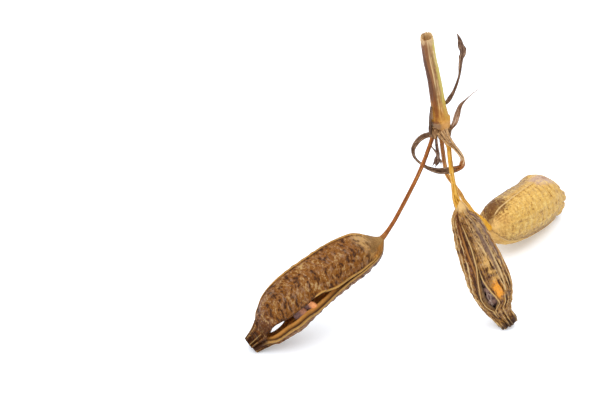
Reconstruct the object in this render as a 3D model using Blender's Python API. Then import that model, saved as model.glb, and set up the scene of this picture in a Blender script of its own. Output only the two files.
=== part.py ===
"""Dried iris seed pods: three capsules on one cut stem, standing on their own tips and belly.

Every size is in millimetres and turned into metres when a mesh is made. X runs to the right,
Y away from the front, Z up. The points are laid out from the front left pod and moved at the end,
so that the origin lies on the surface under the middle of the object.
"""
import math

import bmesh
import bpy
import numpy as np
from mathutils import Matrix, Vector

MM = 0.001
FRONT = (0.0, -math.cos(math.radians(30)), math.sin(math.radians(30)))

# across one valve, from suture to suture: 0 and 1 are its margins, 0.5 the septum's line
OUTER_COLUMNS = (0.0, 0.07, 0.15, 0.27, 0.39, 0.5, 0.61, 0.73, 0.85, 0.93, 1.0)
INNER_COLUMNS = (0.0, 0.27, 0.43, 0.5, 0.57, 0.73, 1.0)

STALK_RADIUS = 0.65
STALK_END = 0.6  # a stalk's end, which meets its pod at a slant, stays this far from the neck
BLADE = 0.7  # thickness of a withered leaf
BORE_RADIUS = 1.1  # hollow of the cut stem
BORE_DEPTH = 6.0

LEFT_POD = dict(
    base=(-6.4, 10.0, 30.6),
    tip=(-43.8, -1.1, 1.6),
    # how far the axis bends towards +90 degrees, along the pod
    bow=((0, 0), (0.06, -0.4), (0.16, 0.7), (0.3, 1.9), (0.52, 2.4), (0.74, 1.5), (0.87, 0.1), (1, -0.1)),
    outline=((0, 0.8), (0.03, 2.0), (0.06, 3.4), (0.11, 5.1), (0.18, 6.4), (0.32, 7.2), (0.45, 7.5),
             (0.6, 7.9), (0.68, 7.8), (0.77, 7.0), (0.84, 5.7), (0.91, 3.8), (1, 2.55)),
    hollow=((0.12, 1.6), (0.2, 5.0), (0.35, 6.2), (0.55, 6.8), (0.68, 6.8), (0.77, 5.9), (0.84, 4.4),
            (0.915, 2.0)),
    sutures=(75.0, -45.0, -174.0),
    # degrees added to every suture
    drift=((0, -5), (0.25, -2), (0.5, -3), (0.56, -2), (0.62, 3), (0.7, 6), (0.8, 12.5), (0.86, 14), (1, 14)),
    slits=(
        ((0, 0), (1, 0)),
        ((0.2, 0), (0.28, 3), (0.36, 6), (0.41, 14), (0.46, 25), (0.53, 28.5), (0.6, 25), (0.66, 24),
         (0.71, 25), (0.76, 28), (0.81, 33), (0.86, 34), (0.9, 0)),
        ((0.74, 0), (0.78, 24), (0.81, 28), (0.85, 20), (0.888, 0)),
    ),
    lean=(0.5, 0.85, 0.3),  # share of a slit that its upper valve gives
    # places that swell or shrink: along the pod, degrees round it, reach of both, height
    swellings=((0.04, 85, 0.035, 45, 0.7), (0.16, 80, 0.05, 45, 0.2), (0.79, 88, 0.035, 40, -0.35),
               (0.75, -90, 0.07, 40, 0.4), (0.9, 88, 0.035, 40, 0.5)),
    pitch=2.2,
    bumps=0.13,
    rib=0.3,
    furrow=0.0,
    groove=0.38,
    seed_size=4.6,
)
MIDDLE_POD = dict(
    base=(15.0, 18.0, 38.4),
    tip=(31.5, 10.6, 0.9),
    bow=((0, 0), (0.05, -0.3), (0.1, 0.2), (0.3, 0.3), (0.5, 0.35), (0.7, 0.6), (0.84, 1.1), (1, 0.3)),
    outline=((0, 0.9), (0.05, 1.5), (0.1, 2.6), (0.14, 3.5), (0.2, 4.4), (0.32, 5.2), (0.5, 5.9),
             (0.62, 6.1), (0.7, 5.9), (0.79, 4.9), (0.86, 4.0), (0.92, 3.0), (0.96, 2.6), (1, 2.4)),
    hollow=((0.14, 1.4), (0.24, 3.9), (0.4, 4.9), (0.6, 5.0), (0.75, 4.2), (0.85, 2.7), (0.9, 1.6)),
    sutures=(150.0, 30.0, -90.0),
    drift=((0, -2), (0.18, -13), (0.3, -15), (0.44, -10), (0.58, -3), (0.66, -4), (0.72, -7),
           (0.765, -11), (0.82, -9), (0.9, -7), (1, -12)),
    slits=(
        ((0, 0), (1, 0)),
        ((0.46, 0), (0.52, 4), (0.58, 11), (0.66, 25), (0.72, 37), (0.765, 40), (0.8, 22), (0.825, 0)),
        ((0.55, 0), (0.7, 8), (0.84, 8), (0.87, 0)),
    ),
    lean=(0.5, 0.5, 0.5),
    swellings=((0.2, 80, 0.1, 50, -0.4), (0.97, -80, 0.04, 50, 0.6)),
    pitch=2.6,
    bumps=0.12,
    rib=0.45,
    furrow=0.35,
    groove=0.42,
    seed_size=3.6,
)
RIGHT_POD = dict(
    base=(28.3, 46.2, 12.5),
    tip=(52.2, 79.0, 5.8),
    bow=((0, 0), (0.35, 0.5), (0.6, 0.3), (0.82, -0.3), (1, 1.8)),
    outline=((0, 0.9), (0.02, 2.8), (0.06, 4.7), (0.11, 6.2), (0.2, 7.3), (0.3, 7.9), (0.5, 8.3),
             (0.7, 8.2), (0.81, 7.5), (0.92, 6.2), (1, 4.7)),
    hollow=None,
    sutures=(70.0, -50.0, -170.0),
    drift=((0, 0), (1, 0)),
    slits=None,
    lean=(0.5, 0.5, 0.5),
    swellings=((0.04, -90, 0.06, 45, 1.0), (0.15, 80, 0.12, 45, 0.1), (0.79, -85, 0.06, 32, 1.0),
               (0.92, -50, 0.08, 40, -0.6), (0.97, 75, 0.05, 32, 1.3)),
    pitch=3.0,
    bumps=0.15,
    rib=0.3,
    furrow=0.0,
    groove=0.28,
)

# seeds still in a pod: place along it, degrees round it, distance from its axis
LEFT_SEEDS = ((0.26, 65, 2.4), (0.34, -170, 2.7), (0.44, 70, 2.8), (0.52, -150, 2.8), (0.6, -52, 2.9),
              (0.69, -46, 2.9), (0.65, 80, 2.8))
MIDDLE_SEEDS = ((0.34, 32, 2.0), (0.42, -88, 2.1), (0.5, 30, 2.2), (0.58, 150, 2.2), (0.65, 22, 2.2),
                (0.72, 22, 2.1), (0.78, 22, 1.8))

STEM_PATH = ((4.0, 10.0, 93.1), (5.3, 13.0, 85.4), (7.0, 15.6, 77.6), (8.3, 17.8, 70.4),
             (9.4, 19.4, 64.0), (9.7, 20.0, 60.6), (9.7, 20.2, 58.7))
STEM_OUTLINE = ((0, 1.9), (0.35, 1.8), (0.6, 1.95), (0.73, 2.2), (0.83, 2.6), (0.9, 2.9),
                (0.97, 2.5), (1, 1.8))
LEFT_STALK = ((7.5, 19.0, 58.2), (6.3, 18.0, 54.6), (4.9, 16.6, 50.9), (2.4, 14.8, 45.5),
              (-0.9, 12.6, 39.3), (-3.9, 10.9, 34.0))
MIDDLE_STALK = ((10.9, 18.5, 58.2), (11.9, 17.3, 56.2), (12.3, 16.8, 53.4), (12.8, 16.9, 50.1),
                (13.4, 17.2, 46.6), (14.1, 17.6, 42.6))
RIGHT_STALK = ((10.0, 21.5, 58.2), (10.6, 22.6, 53.5), (11.2, 24.0, 49.7), (11.8, 25.5, 46.1),
               (13.0, 28.0, 41.0), (14.6, 30.0, 37.2), (16.1, 31.8, 34.4), (17.5, 33.2, 32.1),
               (18.6, 35.2, 28.7), (20.2, 37.6, 25.4), (22.3, 40.5, 21.2), (25.1, 43.0, 17.8),
               (26.6, 44.7, 15.4))
LOOP_PATH = ((9.7, 15.5, 62.0), (10.9, 15.0, 60.2), (12.9, 14.9, 57.7), (14.6, 15.6, 55.1),
             (15.9, 17.0, 52.3), (15.9, 19.0, 49.0), (13.0, 20.6, 46.9), (10.0, 20.9, 46.4),
             (7.3, 21.3, 46.9), (4.7, 21.8, 48.3), (2.9, 22.2, 50.1), (2.4, 22.6, 52.3),
             (3.5, 22.6, 54.7), (5.3, 22.2, 56.6), (7.0, 21.6, 57.6))
TALL_PATH = ((11.5, 18.8, 69.7), (12.7, 19.2, 71.5), (13.6, 20.0, 73.8), (14.3, 20.6, 77.0),
             (14.7, 21.0, 80.6), (14.8, 21.0, 84.1), (14.1, 20.4, 87.2), (13.0, 19.6, 89.6))
SHORT_PATH = ((13.3, 18.9, 62.9), (14.0, 19.4, 65.2), (14.9, 20.0, 67.6), (16.5, 20.4, 69.4),
              (19.0, 21.0, 71.8))
SHEATH_PATH = ((6.3, 18.2, 61.2), (5.9, 17.8, 64.6), (6.1, 16.8, 68.8))
BUD_PATH = ((8.5, 20.3, 57.9), (9.0, 21.0, 53.9), (9.4, 21.2, 51.5), (9.2, 21.0, 50.1),
            (9.1, 21.0, 48.1))


def remove_everything():
    for obj in list(bpy.data.objects):
        bpy.data.objects.remove(obj, do_unlink=True)


def curve(stations, at):
    """Smooth value at `at`, through (place, value) stations, with no overshoot between them."""
    places = np.array([s[0] for s in stations], float)
    values = np.array([s[1] for s in stations], float)
    step = np.diff(places)
    slope = np.diff(values) / step
    tangent = np.zeros_like(values)
    for i in range(1, len(values) - 1):
        if slope[i - 1] * slope[i] > 0:
            weight = (2 * step[i] + step[i - 1], step[i] + 2 * step[i - 1])
            tangent[i] = sum(weight) / (weight[0] / slope[i - 1] + weight[1] / slope[i])
    tangent[0], tangent[-1] = slope[0], slope[-1]
    at = min(max(at, places[0]), places[-1])
    i = min(int(np.searchsorted(places, at, side="right")) - 1, len(step) - 1)
    x = (at - places[i]) / step[i]
    from_start = (1 + 2 * x) * (1 - x) ** 2 * values[i] + x * (1 - x) ** 2 * step[i] * tangent[i]
    from_end = x * x * (3 - 2 * x) * values[i + 1] + x * x * (x - 1) * step[i] * tangent[i + 1]
    return float(from_start + from_end)


def bell(x, centre, width):
    return math.exp(-((x - centre) / width) ** 2)


def ramp(x, start, end):
    x = min(max((x - start) / (end - start), 0.0), 1.0)
    return x * x * (3 - 2 * x)


def unit(vector):
    return np.asarray(vector, float) / np.linalg.norm(vector)


class Pod:
    """A three-valved capsule on a bent axis. Angles run round it from the side that faces front."""

    def __init__(self, shape):
        self.__dict__.update(shape)
        self.base = np.array(self.base)
        self.tip = np.array(self.tip)
        self.length = float(np.linalg.norm(self.tip - self.base))
        along = unit(self.tip - self.base)
        self.rise = unit(np.cross(along, FRONT))

    def centre(self, u):
        return self.base + (self.tip - self.base) * u + self.rise * curve(self.bow, u)

    def frame(self, u):
        along = unit(self.centre(min(u + 0.04, 1.0)) - self.centre(max(u - 0.04, 0.0)))
        side = unit(np.cross(along, FRONT))
        return np.cross(side, along), side

    def point(self, u, angle, radius):
        front, side = self.frame(u)
        turn = math.radians(angle)
        return self.centre(u) + radius * (math.cos(turn) * front + math.sin(turn) * side)

    def slit(self, k, u):
        if self.slits is None or not self.slits[k][0][0] < u < self.slits[k][-1][0]:
            return 0.0
        return curve(self.slits[k], u)

    def angle(self, k, u, t):
        """Angle of the place t across valve k, which lies between sutures k and k + 1."""
        after = (k + 1) % 3
        start = self.sutures[k] + curve(self.drift, u) - self.slit(k, u) * (1 - self.lean[k])
        last = self.sutures[after] - (360 if after == 0 else 0)
        end = last + curve(self.drift, u) + self.slit(after, u) * self.lean[after]
        return start + (end - start) * t

    def swelling(self, k, u, t):
        """Uneven growth: broad places where the pod is fuller or flatter than its outline."""
        total = 0.0
        for place, turn, reach, spread, height in self.swellings:
            away = (self.angle(k, u, t) - turn + 180) % 360 - 180
            total += height * bell(u, place, reach) * bell(away, 0, spread)
        return total * ramp(u, 0.0, 0.06)

    def relief(self, k, u, t):
        """How far the dried wall stands out from the smooth outline: ribs, furrows, seed bumps."""
        from_margin = min(t, 1 - t)
        ends = ramp(u, 0.03, 0.12) * ramp(1 - u, 0.02, 0.14)
        rib = self.rib * bell(from_margin, 0.07, 0.05) * ends
        middle = -self.furrow * bell(t, 0.5, 0.06) + self.furrow * 0.7 * bell(from_margin, 0.39, 0.07)
        half = math.pi if t > 0.5 else 0.0
        wave = math.cos(2 * math.pi * u * self.length / self.pitch + half + math.pi * (k % 2))
        seeds = self.bumps * wave * bell(from_margin, 0.28, 0.12) * ends
        return rib + middle * ends + seeds

    def radius(self, k, u, t):
        pinch = self.groove * ramp(u, 0.82, 1.0)
        pinch = pinch * bell(min(t, 1 - t), 0, 0.09) + 0.6 * pinch * bell(t, 0.5, 0.07)
        size = curve(self.outline, u) + self.swelling(k, u, t)
        return size * (1 - pinch) + self.relief(k, u, t)

    def inner_radius(self, u, t):
        """The hollow is lobed: each valve carries its half septum as a ridge on the inside."""
        septum = 0.42 * bell(t, 0.5, 0.06) * ramp(u, 0.12, 0.3) * ramp(1 - u, 0.1, 0.25)
        return curve(self.hollow, u) * (1 - septum)

    def rows(self):
        """Two rows to a seed bump, so that each crest and each dip has its own row."""
        count = round(2 * self.length / self.pitch)
        step = self.pitch / 2 / self.length
        start = (0.0, 0.015, 0.03)
        return start + tuple(step * i for i in range(2, count)) + (0.99, 1.0)


class Shell:
    """Collects the two grids of a pod and stitches them where the wall has split."""

    def __init__(self, pod):
        self.pod = pod
        self.mesh = bmesh.new()
        self.margins = {}

    def vertex(self, place):
        return self.mesh.verts.new(tuple(place))

    def ring(self, u, columns, radius, layer, row):
        """One ring of vertices: three valves, which share the vertex at a suture still shut."""
        valves = []
        for k in range(3):
            line = []
            for t in columns:
                key = (layer, row, k if t < 0.5 else (k + 1) % 3)
                shut = t in (0.0, 1.0) and self.pod.slit(key[2], u) == 0.0
                if shut and key in self.margins:
                    line.append(self.margins[key])
                    continue
                line.append(self.vertex(self.pod.point(u, self.pod.angle(k, u, t), radius(k, u, t))))
                if shut:
                    self.margins[key] = line[-1]
            valves.append(line)
        return valves

    def skin(self, rings, inward):
        for above, below in zip(rings, rings[1:]):
            for one, other in zip(above, below):
                for i in range(len(one) - 1):
                    self.face((one[i], one[i + 1], other[i + 1], other[i]), inward)

    def cap(self, ring, place, flip):
        centre = self.vertex(place)
        loop = []
        for line in ring:
            loop.extend(v for v in line[:-1])
        for a, b in zip(loop, loop[1:] + loop[:1]):
            self.face((centre, b, a), flip)

    def face(self, corners, flip):
        self.mesh.faces.new(tuple(reversed(corners)) if flip else corners)

    def margins_of_slits(self, outer, inner):
        """Closes the wall along both margins of every slit, from the outer to the inner grid."""
        for (upper, lower), (upper_in, lower_in) in zip(zip(outer, outer[1:]), zip(inner, inner[1:])):
            for k in range(3):
                for side in (0, -1):
                    corners = (upper[k][side], lower[k][side], lower_in[k][side], upper_in[k][side])
                    other = (k, 0) if side else (k, -1)
                    if self.shared(upper, lower, k, side):
                        continue
                    self.face(corners, side == 0)

    def shared(self, upper, lower, k, side):
        """True where the suture is shut in both rows, so the valves have a common edge."""
        near = (k - 1) % 3 if side == 0 else (k + 1) % 3
        back = -1 if side == 0 else 0
        return upper[k][side] is upper[near][back] and lower[k][side] is lower[near][back]


def pod_mesh(pod):
    shell = Shell(pod)
    rows = pod.rows()
    outer = [shell.ring(u, OUTER_COLUMNS, pod.radius, "outer", i) for i, u in enumerate(rows)]
    shell.skin(outer, False)
    shell.cap(outer[0], pod.centre(0.0), False)
    shell.cap(outer[-1], pod.centre(0.985), True)
    if pod.hollow:
        first, last = pod.hollow[0][0], pod.hollow[-1][0]
        span = [i for i, u in enumerate(rows) if first <= u <= last]
        inner = [shell.ring(rows[i], INNER_COLUMNS, lambda k, u, t: pod.inner_radius(u, t), "inner", i)
                 for i in span]
        shell.skin(inner, True)
        shell.cap(inner[0], pod.centre(rows[span[0]]), True)
        shell.cap(inner[-1], pod.centre(rows[span[-1]]), False)
        shell.margins_of_slits([outer[i] for i in span], inner)
    bmesh.ops.recalc_face_normals(shell.mesh, faces=shell.mesh.faces)
    return shell.mesh


def along_path(points, count):
    """Evenly placed points and tangents on a smooth line through the given points."""
    points = np.array(points, float)
    reach = np.concatenate([[0], np.cumsum(np.linalg.norm(np.diff(points, axis=0), axis=1))])
    reach /= reach[-1]
    slopes = np.gradient(points, reach, axis=0)
    places, tangents = [], []
    for u in np.linspace(0, 1, count):
        i = min(int(np.searchsorted(reach, u, side="right")) - 1, len(points) - 2)
        step = reach[i + 1] - reach[i]
        x = (u - reach[i]) / step
        place = ((1 + 2 * x) * (1 - x) ** 2 * points[i] + x * (1 - x) ** 2 * step * slopes[i]
                 + x * x * (3 - 2 * x) * points[i + 1] + x * x * (x - 1) * step * slopes[i + 1])
        places.append(place)
    for before, after in zip([places[0]] + places[:-1], places[1:] + [places[-1]]):
        tangents.append(unit(after - before))
    return places, tangents


def swept(points, section, sides, count, bore=None):
    """Closed sweep. section(u) gives half width, half thickness and roll; bore (radius, depth)."""
    places, tangents = along_path(points, count)
    mesh = bmesh.new()
    length = sum(np.linalg.norm(b - a) for a, b in zip(places, places[1:]))

    def ring(i, shrink=None):
        across = unit(np.cross(tangents[i], FRONT))
        out = np.cross(across, tangents[i])
        wide, thick, roll = section(i / (count - 1))
        if shrink:
            wide = thick = shrink
        turn = math.radians(roll)
        one = math.cos(turn) * across + math.sin(turn) * out
        two = math.cos(turn) * out - math.sin(turn) * across
        verts = []
        for j in range(sides):
            phi = 2 * math.pi * j / sides
            place = places[i] + wide * math.cos(phi) * one + thick * math.sin(phi) * two
            verts.append(mesh.verts.new(place))
        return verts

    def join(first, second):
        for j in range(sides):
            k = (j + 1) % sides
            mesh.faces.new((first[j], first[k], second[k], second[j]))

    rings = [ring(i) for i in range(count)]
    for first, second in zip(rings, rings[1:]):
        join(first, second)
    mesh.faces.new(rings[-1])
    if bore:
        radius, depth = bore
        deep = [ring(i, radius) for i in range(count) if i * length / (count - 1) <= depth]
        join(rings[0], deep[0])
        for first, second in zip(deep, deep[1:]):
            join(first, second)
        mesh.faces.new(deep[-1])
    else:
        mesh.faces.new(list(reversed(rings[0])))
    bmesh.ops.recalc_face_normals(mesh, faces=mesh.faces)
    return mesh


def material(name, colour, roughness=0.75):
    made = bpy.data.materials.new(name)
    made.use_nodes = True
    shader = made.node_tree.nodes["Principled BSDF"]
    shader.inputs["Base Color"].default_value = (*colour, 1.0)
    shader.inputs["Roughness"].default_value = roughness
    shader.inputs["Metallic"].default_value = 0.0
    made.diffuse_color = (*colour, 1.0)
    return made


def add(name, mesh, look, sharp=50):
    """Turns a mesh built in millimetres into a named, smooth-shaded object in metres."""
    mesh.transform(Matrix.Scale(MM, 4))
    data = bpy.data.meshes.new(name)
    mesh.to_mesh(data)
    mesh.free()
    data.materials.append(look)
    data.shade_smooth()
    data.set_sharp_from_angle(angle=math.radians(sharp))
    obj = bpy.data.objects.new(name, data)
    bpy.context.scene.collection.objects.link(obj)
    return obj


def stalk(path, pod):
    """A pod stalk that stops just short of the pod's neck."""
    end = pod.base + unit(np.array(path[-1]) - pod.base) * STALK_END
    return swept(path + (tuple(end),), lambda u: (STALK_RADIUS, STALK_RADIUS, 0), 8, 15)


def seed_mesh(pod, seeds):
    """Flat D-shaped seeds, stacked across the pod, apart from one another."""
    mesh = bmesh.new()
    for u, angle, distance in seeds:
        front, side = pod.frame(u)
        turn = math.radians(angle)
        out = math.cos(turn) * front + math.sin(turn) * side
        along = unit(pod.centre(u + 0.02) - pod.centre(u - 0.02))
        axes = Matrix((Vector(out), Vector(np.cross(along, out)), Vector(along))).transposed()
        size = Matrix.Diagonal((0.55 * pod.seed_size, 0.45 * pod.seed_size, 0.17 * pod.seed_size))
        place = Matrix.Translation(Vector(pod.point(u, angle, distance)))
        bmesh.ops.create_icosphere(mesh, subdivisions=2, radius=1.0,
                                   matrix=place @ (axes @ size).to_4x4())
    return mesh


def seed_strand(name, pod, seeds, look):
    """The seeds left in a pod, grown on to the strand that runs up its middle."""
    first, last = pod.hollow[0][0] + 0.02, pod.hollow[-1][0] - 0.03
    path = [pod.centre(first + (last - first) * i / 8) for i in range(9)]
    strand = add(name, swept(path, lambda u: (0.75, 0.75, 0), 8, 12), look)
    loose = add(name + "_cutter", seed_mesh(pod, seeds), look)
    loose.hide_render = True
    loose.display_type = "WIRE"
    joined = strand.modifiers.new("seeds", "BOOLEAN")
    joined.operation = "UNION"
    joined.solver = "EXACT"
    joined.object = loose
    return strand


def rest_on_floor(pods):
    """Cuts the lowest spot of each pod flat, level with the surface that it stands on."""
    mesh = bmesh.new()
    reach, depth = 200, 10
    place = Matrix.Translation((0, 0, -depth / 2)) @ Matrix.Diagonal((reach, reach, depth, 1))
    bmesh.ops.create_cube(mesh, size=1.0, matrix=place)
    floor = add("floor_cutter", mesh, material("cutter", (0.5, 0.5, 0.5)))
    floor.hide_render = True
    floor.display_type = "WIRE"
    for pod in pods:
        cut = pod.modifiers.new("rest", "BOOLEAN")
        cut.operation = "DIFFERENCE"
        cut.solver = "EXACT"
        cut.object = floor


def add_pods():
    left, middle, right = Pod(LEFT_POD), Pod(MIDDLE_POD), Pod(RIGHT_POD)
    rest_on_floor((
        add("pod_left", pod_mesh(left), material("dark_pod", (0.16, 0.07, 0.025))),
        add("pod_middle", pod_mesh(middle), material("grey_pod", (0.25, 0.16, 0.08))),
        add("pod_right", pod_mesh(right), material("golden_pod", (0.45, 0.28, 0.08))),
    ))
    seed_look = material("seed", (0.30, 0.16, 0.12), 0.5)
    seed_strand("seeds_left", left, LEFT_SEEDS, seed_look)
    seed_strand("seeds_middle", middle, MIDDLE_SEEDS, seed_look)
    add("stalk_left", stalk(LEFT_STALK, left), material("brown_stalk", (0.30, 0.12, 0.03)))
    add("stalk_middle", stalk(MIDDLE_STALK, middle), material("yellow_stalk", (0.55, 0.30, 0.06)))
    add("stalk_right", stalk(RIGHT_STALK, right), material("orange_stalk", (0.50, 0.24, 0.05)))


def add_stem():
    def section(u):
        radius = curve(STEM_OUTLINE, u)
        return radius, radius, 0
    mesh = swept(STEM_PATH, section, 16, 22, (BORE_RADIUS, BORE_DEPTH))
    add("stem", mesh, material("straw_stem", (0.45, 0.28, 0.10)))


def ribbon(widths, rolls):
    """Cross section of a withered leaf: half width along it, constant thickness, and its twist."""
    def section(u):
        return curve(widths, u), BLADE / 2, curve(rolls, u)
    return section


def add_bracts():
    """Papery leaves round the knot of the stem, and a bud that never opened."""
    brown = material("grey_bract", (0.20, 0.12, 0.07))
    straw = material("straw_bract", (0.42, 0.26, 0.12))
    loop = ribbon(((0, 1.3), (0.15, 1.1), (0.32, 1.1), (0.5, 0.85), (0.7, 0.6), (1, 0.8)),
                  ((0, 0), (0.28, 10), (0.36, 25), (0.5, 5), (1, 0)))
    add("bract_loop", swept(LOOP_PATH, loop, 8, 36), straw)
    tall = ribbon(((0, 0.4), (0.2, 0.6), (0.4, 0.4), (0.6, 0.9), (0.8, 1.0), (1, 0.35)),
                  ((0, 0), (0.4, 30), (0.7, -20), (1, 20)))
    add("bract_tall", swept(TALL_PATH, tall, 8, 14), brown)
    short = ribbon(((0, 0.8), (0.3, 1.0), (0.6, 0.6), (1, 0.35)), ((0, 0), (1, 20)))
    add("bract_short", swept(SHORT_PATH, short, 8, 9), brown)
    sheath = ribbon(((0, 0.6), (0.5, 0.5), (1, 0.35)), ((0, 60), (1, 60)))
    add("bract_sheath", swept(SHEATH_PATH, sheath, 8, 6), brown)

    def bud(u):
        radius = curve(((0, 0.35), (0.6, 0.35), (0.7, 0.5), (0.85, 1.1), (1, 0.5)), u)
        return radius, radius, 0
    add("withered_bud", swept(BUD_PATH, bud, 8, 14), brown)


def stand_on_origin():
    """Moves every piece sideways together, so the origin is under the middle of the object."""
    solid = [o for o in bpy.data.objects if o.type == "MESH" and not o.hide_render]
    corners = np.array([v.co for o in solid for v in o.data.vertices])
    middle = (corners.min(axis=0) + corners.max(axis=0)) / 2
    for obj in bpy.data.objects:
        obj.location = (-middle[0], -middle[1], 0.0)


remove_everything()
add_pods()
add_stem()
add_bracts()
stand_on_origin()
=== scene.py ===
"""Dried iris seed pods: three capsules on one cut stem, with withered leaves at the knot.

Sizes are in millimetres on the same layout as the solids, and become metres in the frame when a
mesh is made. X runs to the right, Y away from the front, Z up. Every pod is one rule: an axis, an
outline along it, and three valves round it. Stalks, stem and leaves are strands on a path.
"""
import math

import bmesh
import bpy
import numpy as np
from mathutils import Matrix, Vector


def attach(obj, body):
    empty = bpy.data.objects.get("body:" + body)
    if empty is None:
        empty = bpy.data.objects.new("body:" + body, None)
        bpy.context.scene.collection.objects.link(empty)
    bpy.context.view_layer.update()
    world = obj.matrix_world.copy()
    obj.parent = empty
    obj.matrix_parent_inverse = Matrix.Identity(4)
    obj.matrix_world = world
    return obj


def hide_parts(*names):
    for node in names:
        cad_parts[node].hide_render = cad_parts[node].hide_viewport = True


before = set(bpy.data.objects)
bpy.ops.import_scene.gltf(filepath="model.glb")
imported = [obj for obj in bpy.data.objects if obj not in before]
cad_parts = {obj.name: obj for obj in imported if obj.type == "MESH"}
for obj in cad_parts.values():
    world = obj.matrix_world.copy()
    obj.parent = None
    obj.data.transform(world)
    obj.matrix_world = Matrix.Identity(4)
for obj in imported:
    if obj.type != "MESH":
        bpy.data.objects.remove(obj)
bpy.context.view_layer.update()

MM = 0.001
TO_FRAME = np.array((-5.475, -38.555, 0.0))  # from the layout's origin to the frame's, in mm

CAMERA_TARGET = (-28.0, 30.0, 30.2)
CAMERA_DISTANCE = 500.0
CAMERA_ELEVATION = 30.0
LENS = 100.0
SENSOR_WIDTH = 36.0
# the direction from the object to the camera, which every pod's angles are measured from
FRONT = np.array((0.0, -math.cos(math.radians(CAMERA_ELEVATION)),
                  math.sin(math.radians(CAMERA_ELEVATION))))

# the studio is in metres
SOFTBOXES = (("softbox above", (0.1, 0.1, 0.9), 1.3, 10.0),
             ("softbox front", (-0.5, -0.6, 0.8), 0.8, 6.5))
SKY_STRENGTH = 0.6
WHITE = (1, 1, 1, 1)
FLOOR_REACH = 6.0
# in linear light
FLOOR_TONES = ((0.76, 0.8, 0.86, 1), (0.78, 0.82, 0.88, 1))
FLOOR_GLOW = 0.3

VALVES = 3
ROW_STEP = 0.2  # mm between the rows of a pod's wall
COLUMNS = 61  # across each valve
BEAK_FOLDS, FINE_BEAK_FOLDS, BASE_FOLDS = 6, 14, 7  # folds across a valve at a pod's ends
BEAK_SINK = 0.975  # place along a pod of the sunken point that closes its beak
SHARP = 40  # degrees between faces that still shade as one surface
POD_SHARP = 60
SHUT = ((0, 0), (1, 0))  # the stations of a suture with no slit


def both(*stations):
    """One set of stations for the two lips of a suture."""
    return stations, stations


LEFT_POD = dict(
    base=(-6.4, 10.0, 30.6),
    tip=(-43.8, -1.1, 1.6),
    # how far the axis bends towards +90 degrees, along the pod
    bow=((0, 0), (0.06, -0.4), (0.16, 0.7), (0.3, 1.9), (0.52, 2.4), (0.74, 1.5), (0.87, 0.1),
         (1, -0.1)),
    outline=((0, 0.8), (0.03, 2.0), (0.06, 3.4), (0.11, 5.1), (0.18, 6.4), (0.32, 7.2), (0.45, 7.5),
             (0.6, 7.9), (0.68, 7.8), (0.77, 7.0), (0.84, 5.7), (0.91, 3.8), (1, 2.55)),
    hollow=((0.12, 1.6), (0.2, 5.0), (0.35, 6.2), (0.55, 6.8), (0.68, 6.8), (0.77, 5.9),
            (0.84, 4.4), (0.915, 2.0)),
    sutures=(75.0, -45.0, -174.0),
    # degrees added to every suture
    drift=((0, -5), (0.25, -2), (0.5, -3), (0.56, -2), (0.62, 3), (0.7, 6), (0.8, 12.5),
           (0.86, 14), (1, 14)),
    slits=(
        SHUT,
        ((0.2, 0), (0.28, 3), (0.36, 6), (0.41, 14), (0.46, 25), (0.53, 28.5), (0.6, 25),
         (0.66, 24), (0.71, 25), (0.76, 28), (0.81, 33), (0.86, 34), (0.9, 0)),
        ((0.74, 0), (0.78, 24), (0.81, 28), (0.85, 20), (0.888, 0)),
    ),
    lean=(0.5, 0.85, 0.3),  # share of a slit that its upper valve gives
    # places that swell or shrink: along the pod, degrees round it, reach of both, height
    swellings=((0.04, 85, 0.035, 45, 0.7), (0.16, 80, 0.05, 45, 0.2), (0.79, 88, 0.035, 40, -0.35),
               (0.75, -90, 0.07, 40, 0.4), (0.9, 88, 0.035, 40, 0.5)),
    pitch=2.9,
    bumps=0.1,
    # width along each suture of the lip of the valve over it, then of the valve under it
    lips=(both((0, 0.6), (1, 0.5)),
          (((0, 0.5), (0.2, 1.0), (0.42, 0.9), (0.52, 0.4), (0.8, 0.4), (1, 0.35)),
           ((0, 0.5), (0.3, 1.2), (0.6, 1.7), (0.86, 1.5), (1, 0.9))),
          both((0, 0.4), (1, 0.6))),
    # furrows and cleft also darken the colour of the groove outside each lip and of the line of a
    # shut suture: painted shade
    furrows=(0.1, 0.7),  # how dark the furrow outside each lip is
    cleft=(0.1, 1.0, 1.0),  # how deep the line is where each suture is shut
    lip_place=0.55,  # of the lip's ridge, as a share of its width from the suture
    lip=0.35,
    groove=0.5,
    tip_folds=0.32,
    base_folds=0.12,
    ridges=((((0, 0.5), (1, 0.5)), 0.12, 0.02),),
    slant=0.3,
)
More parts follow.
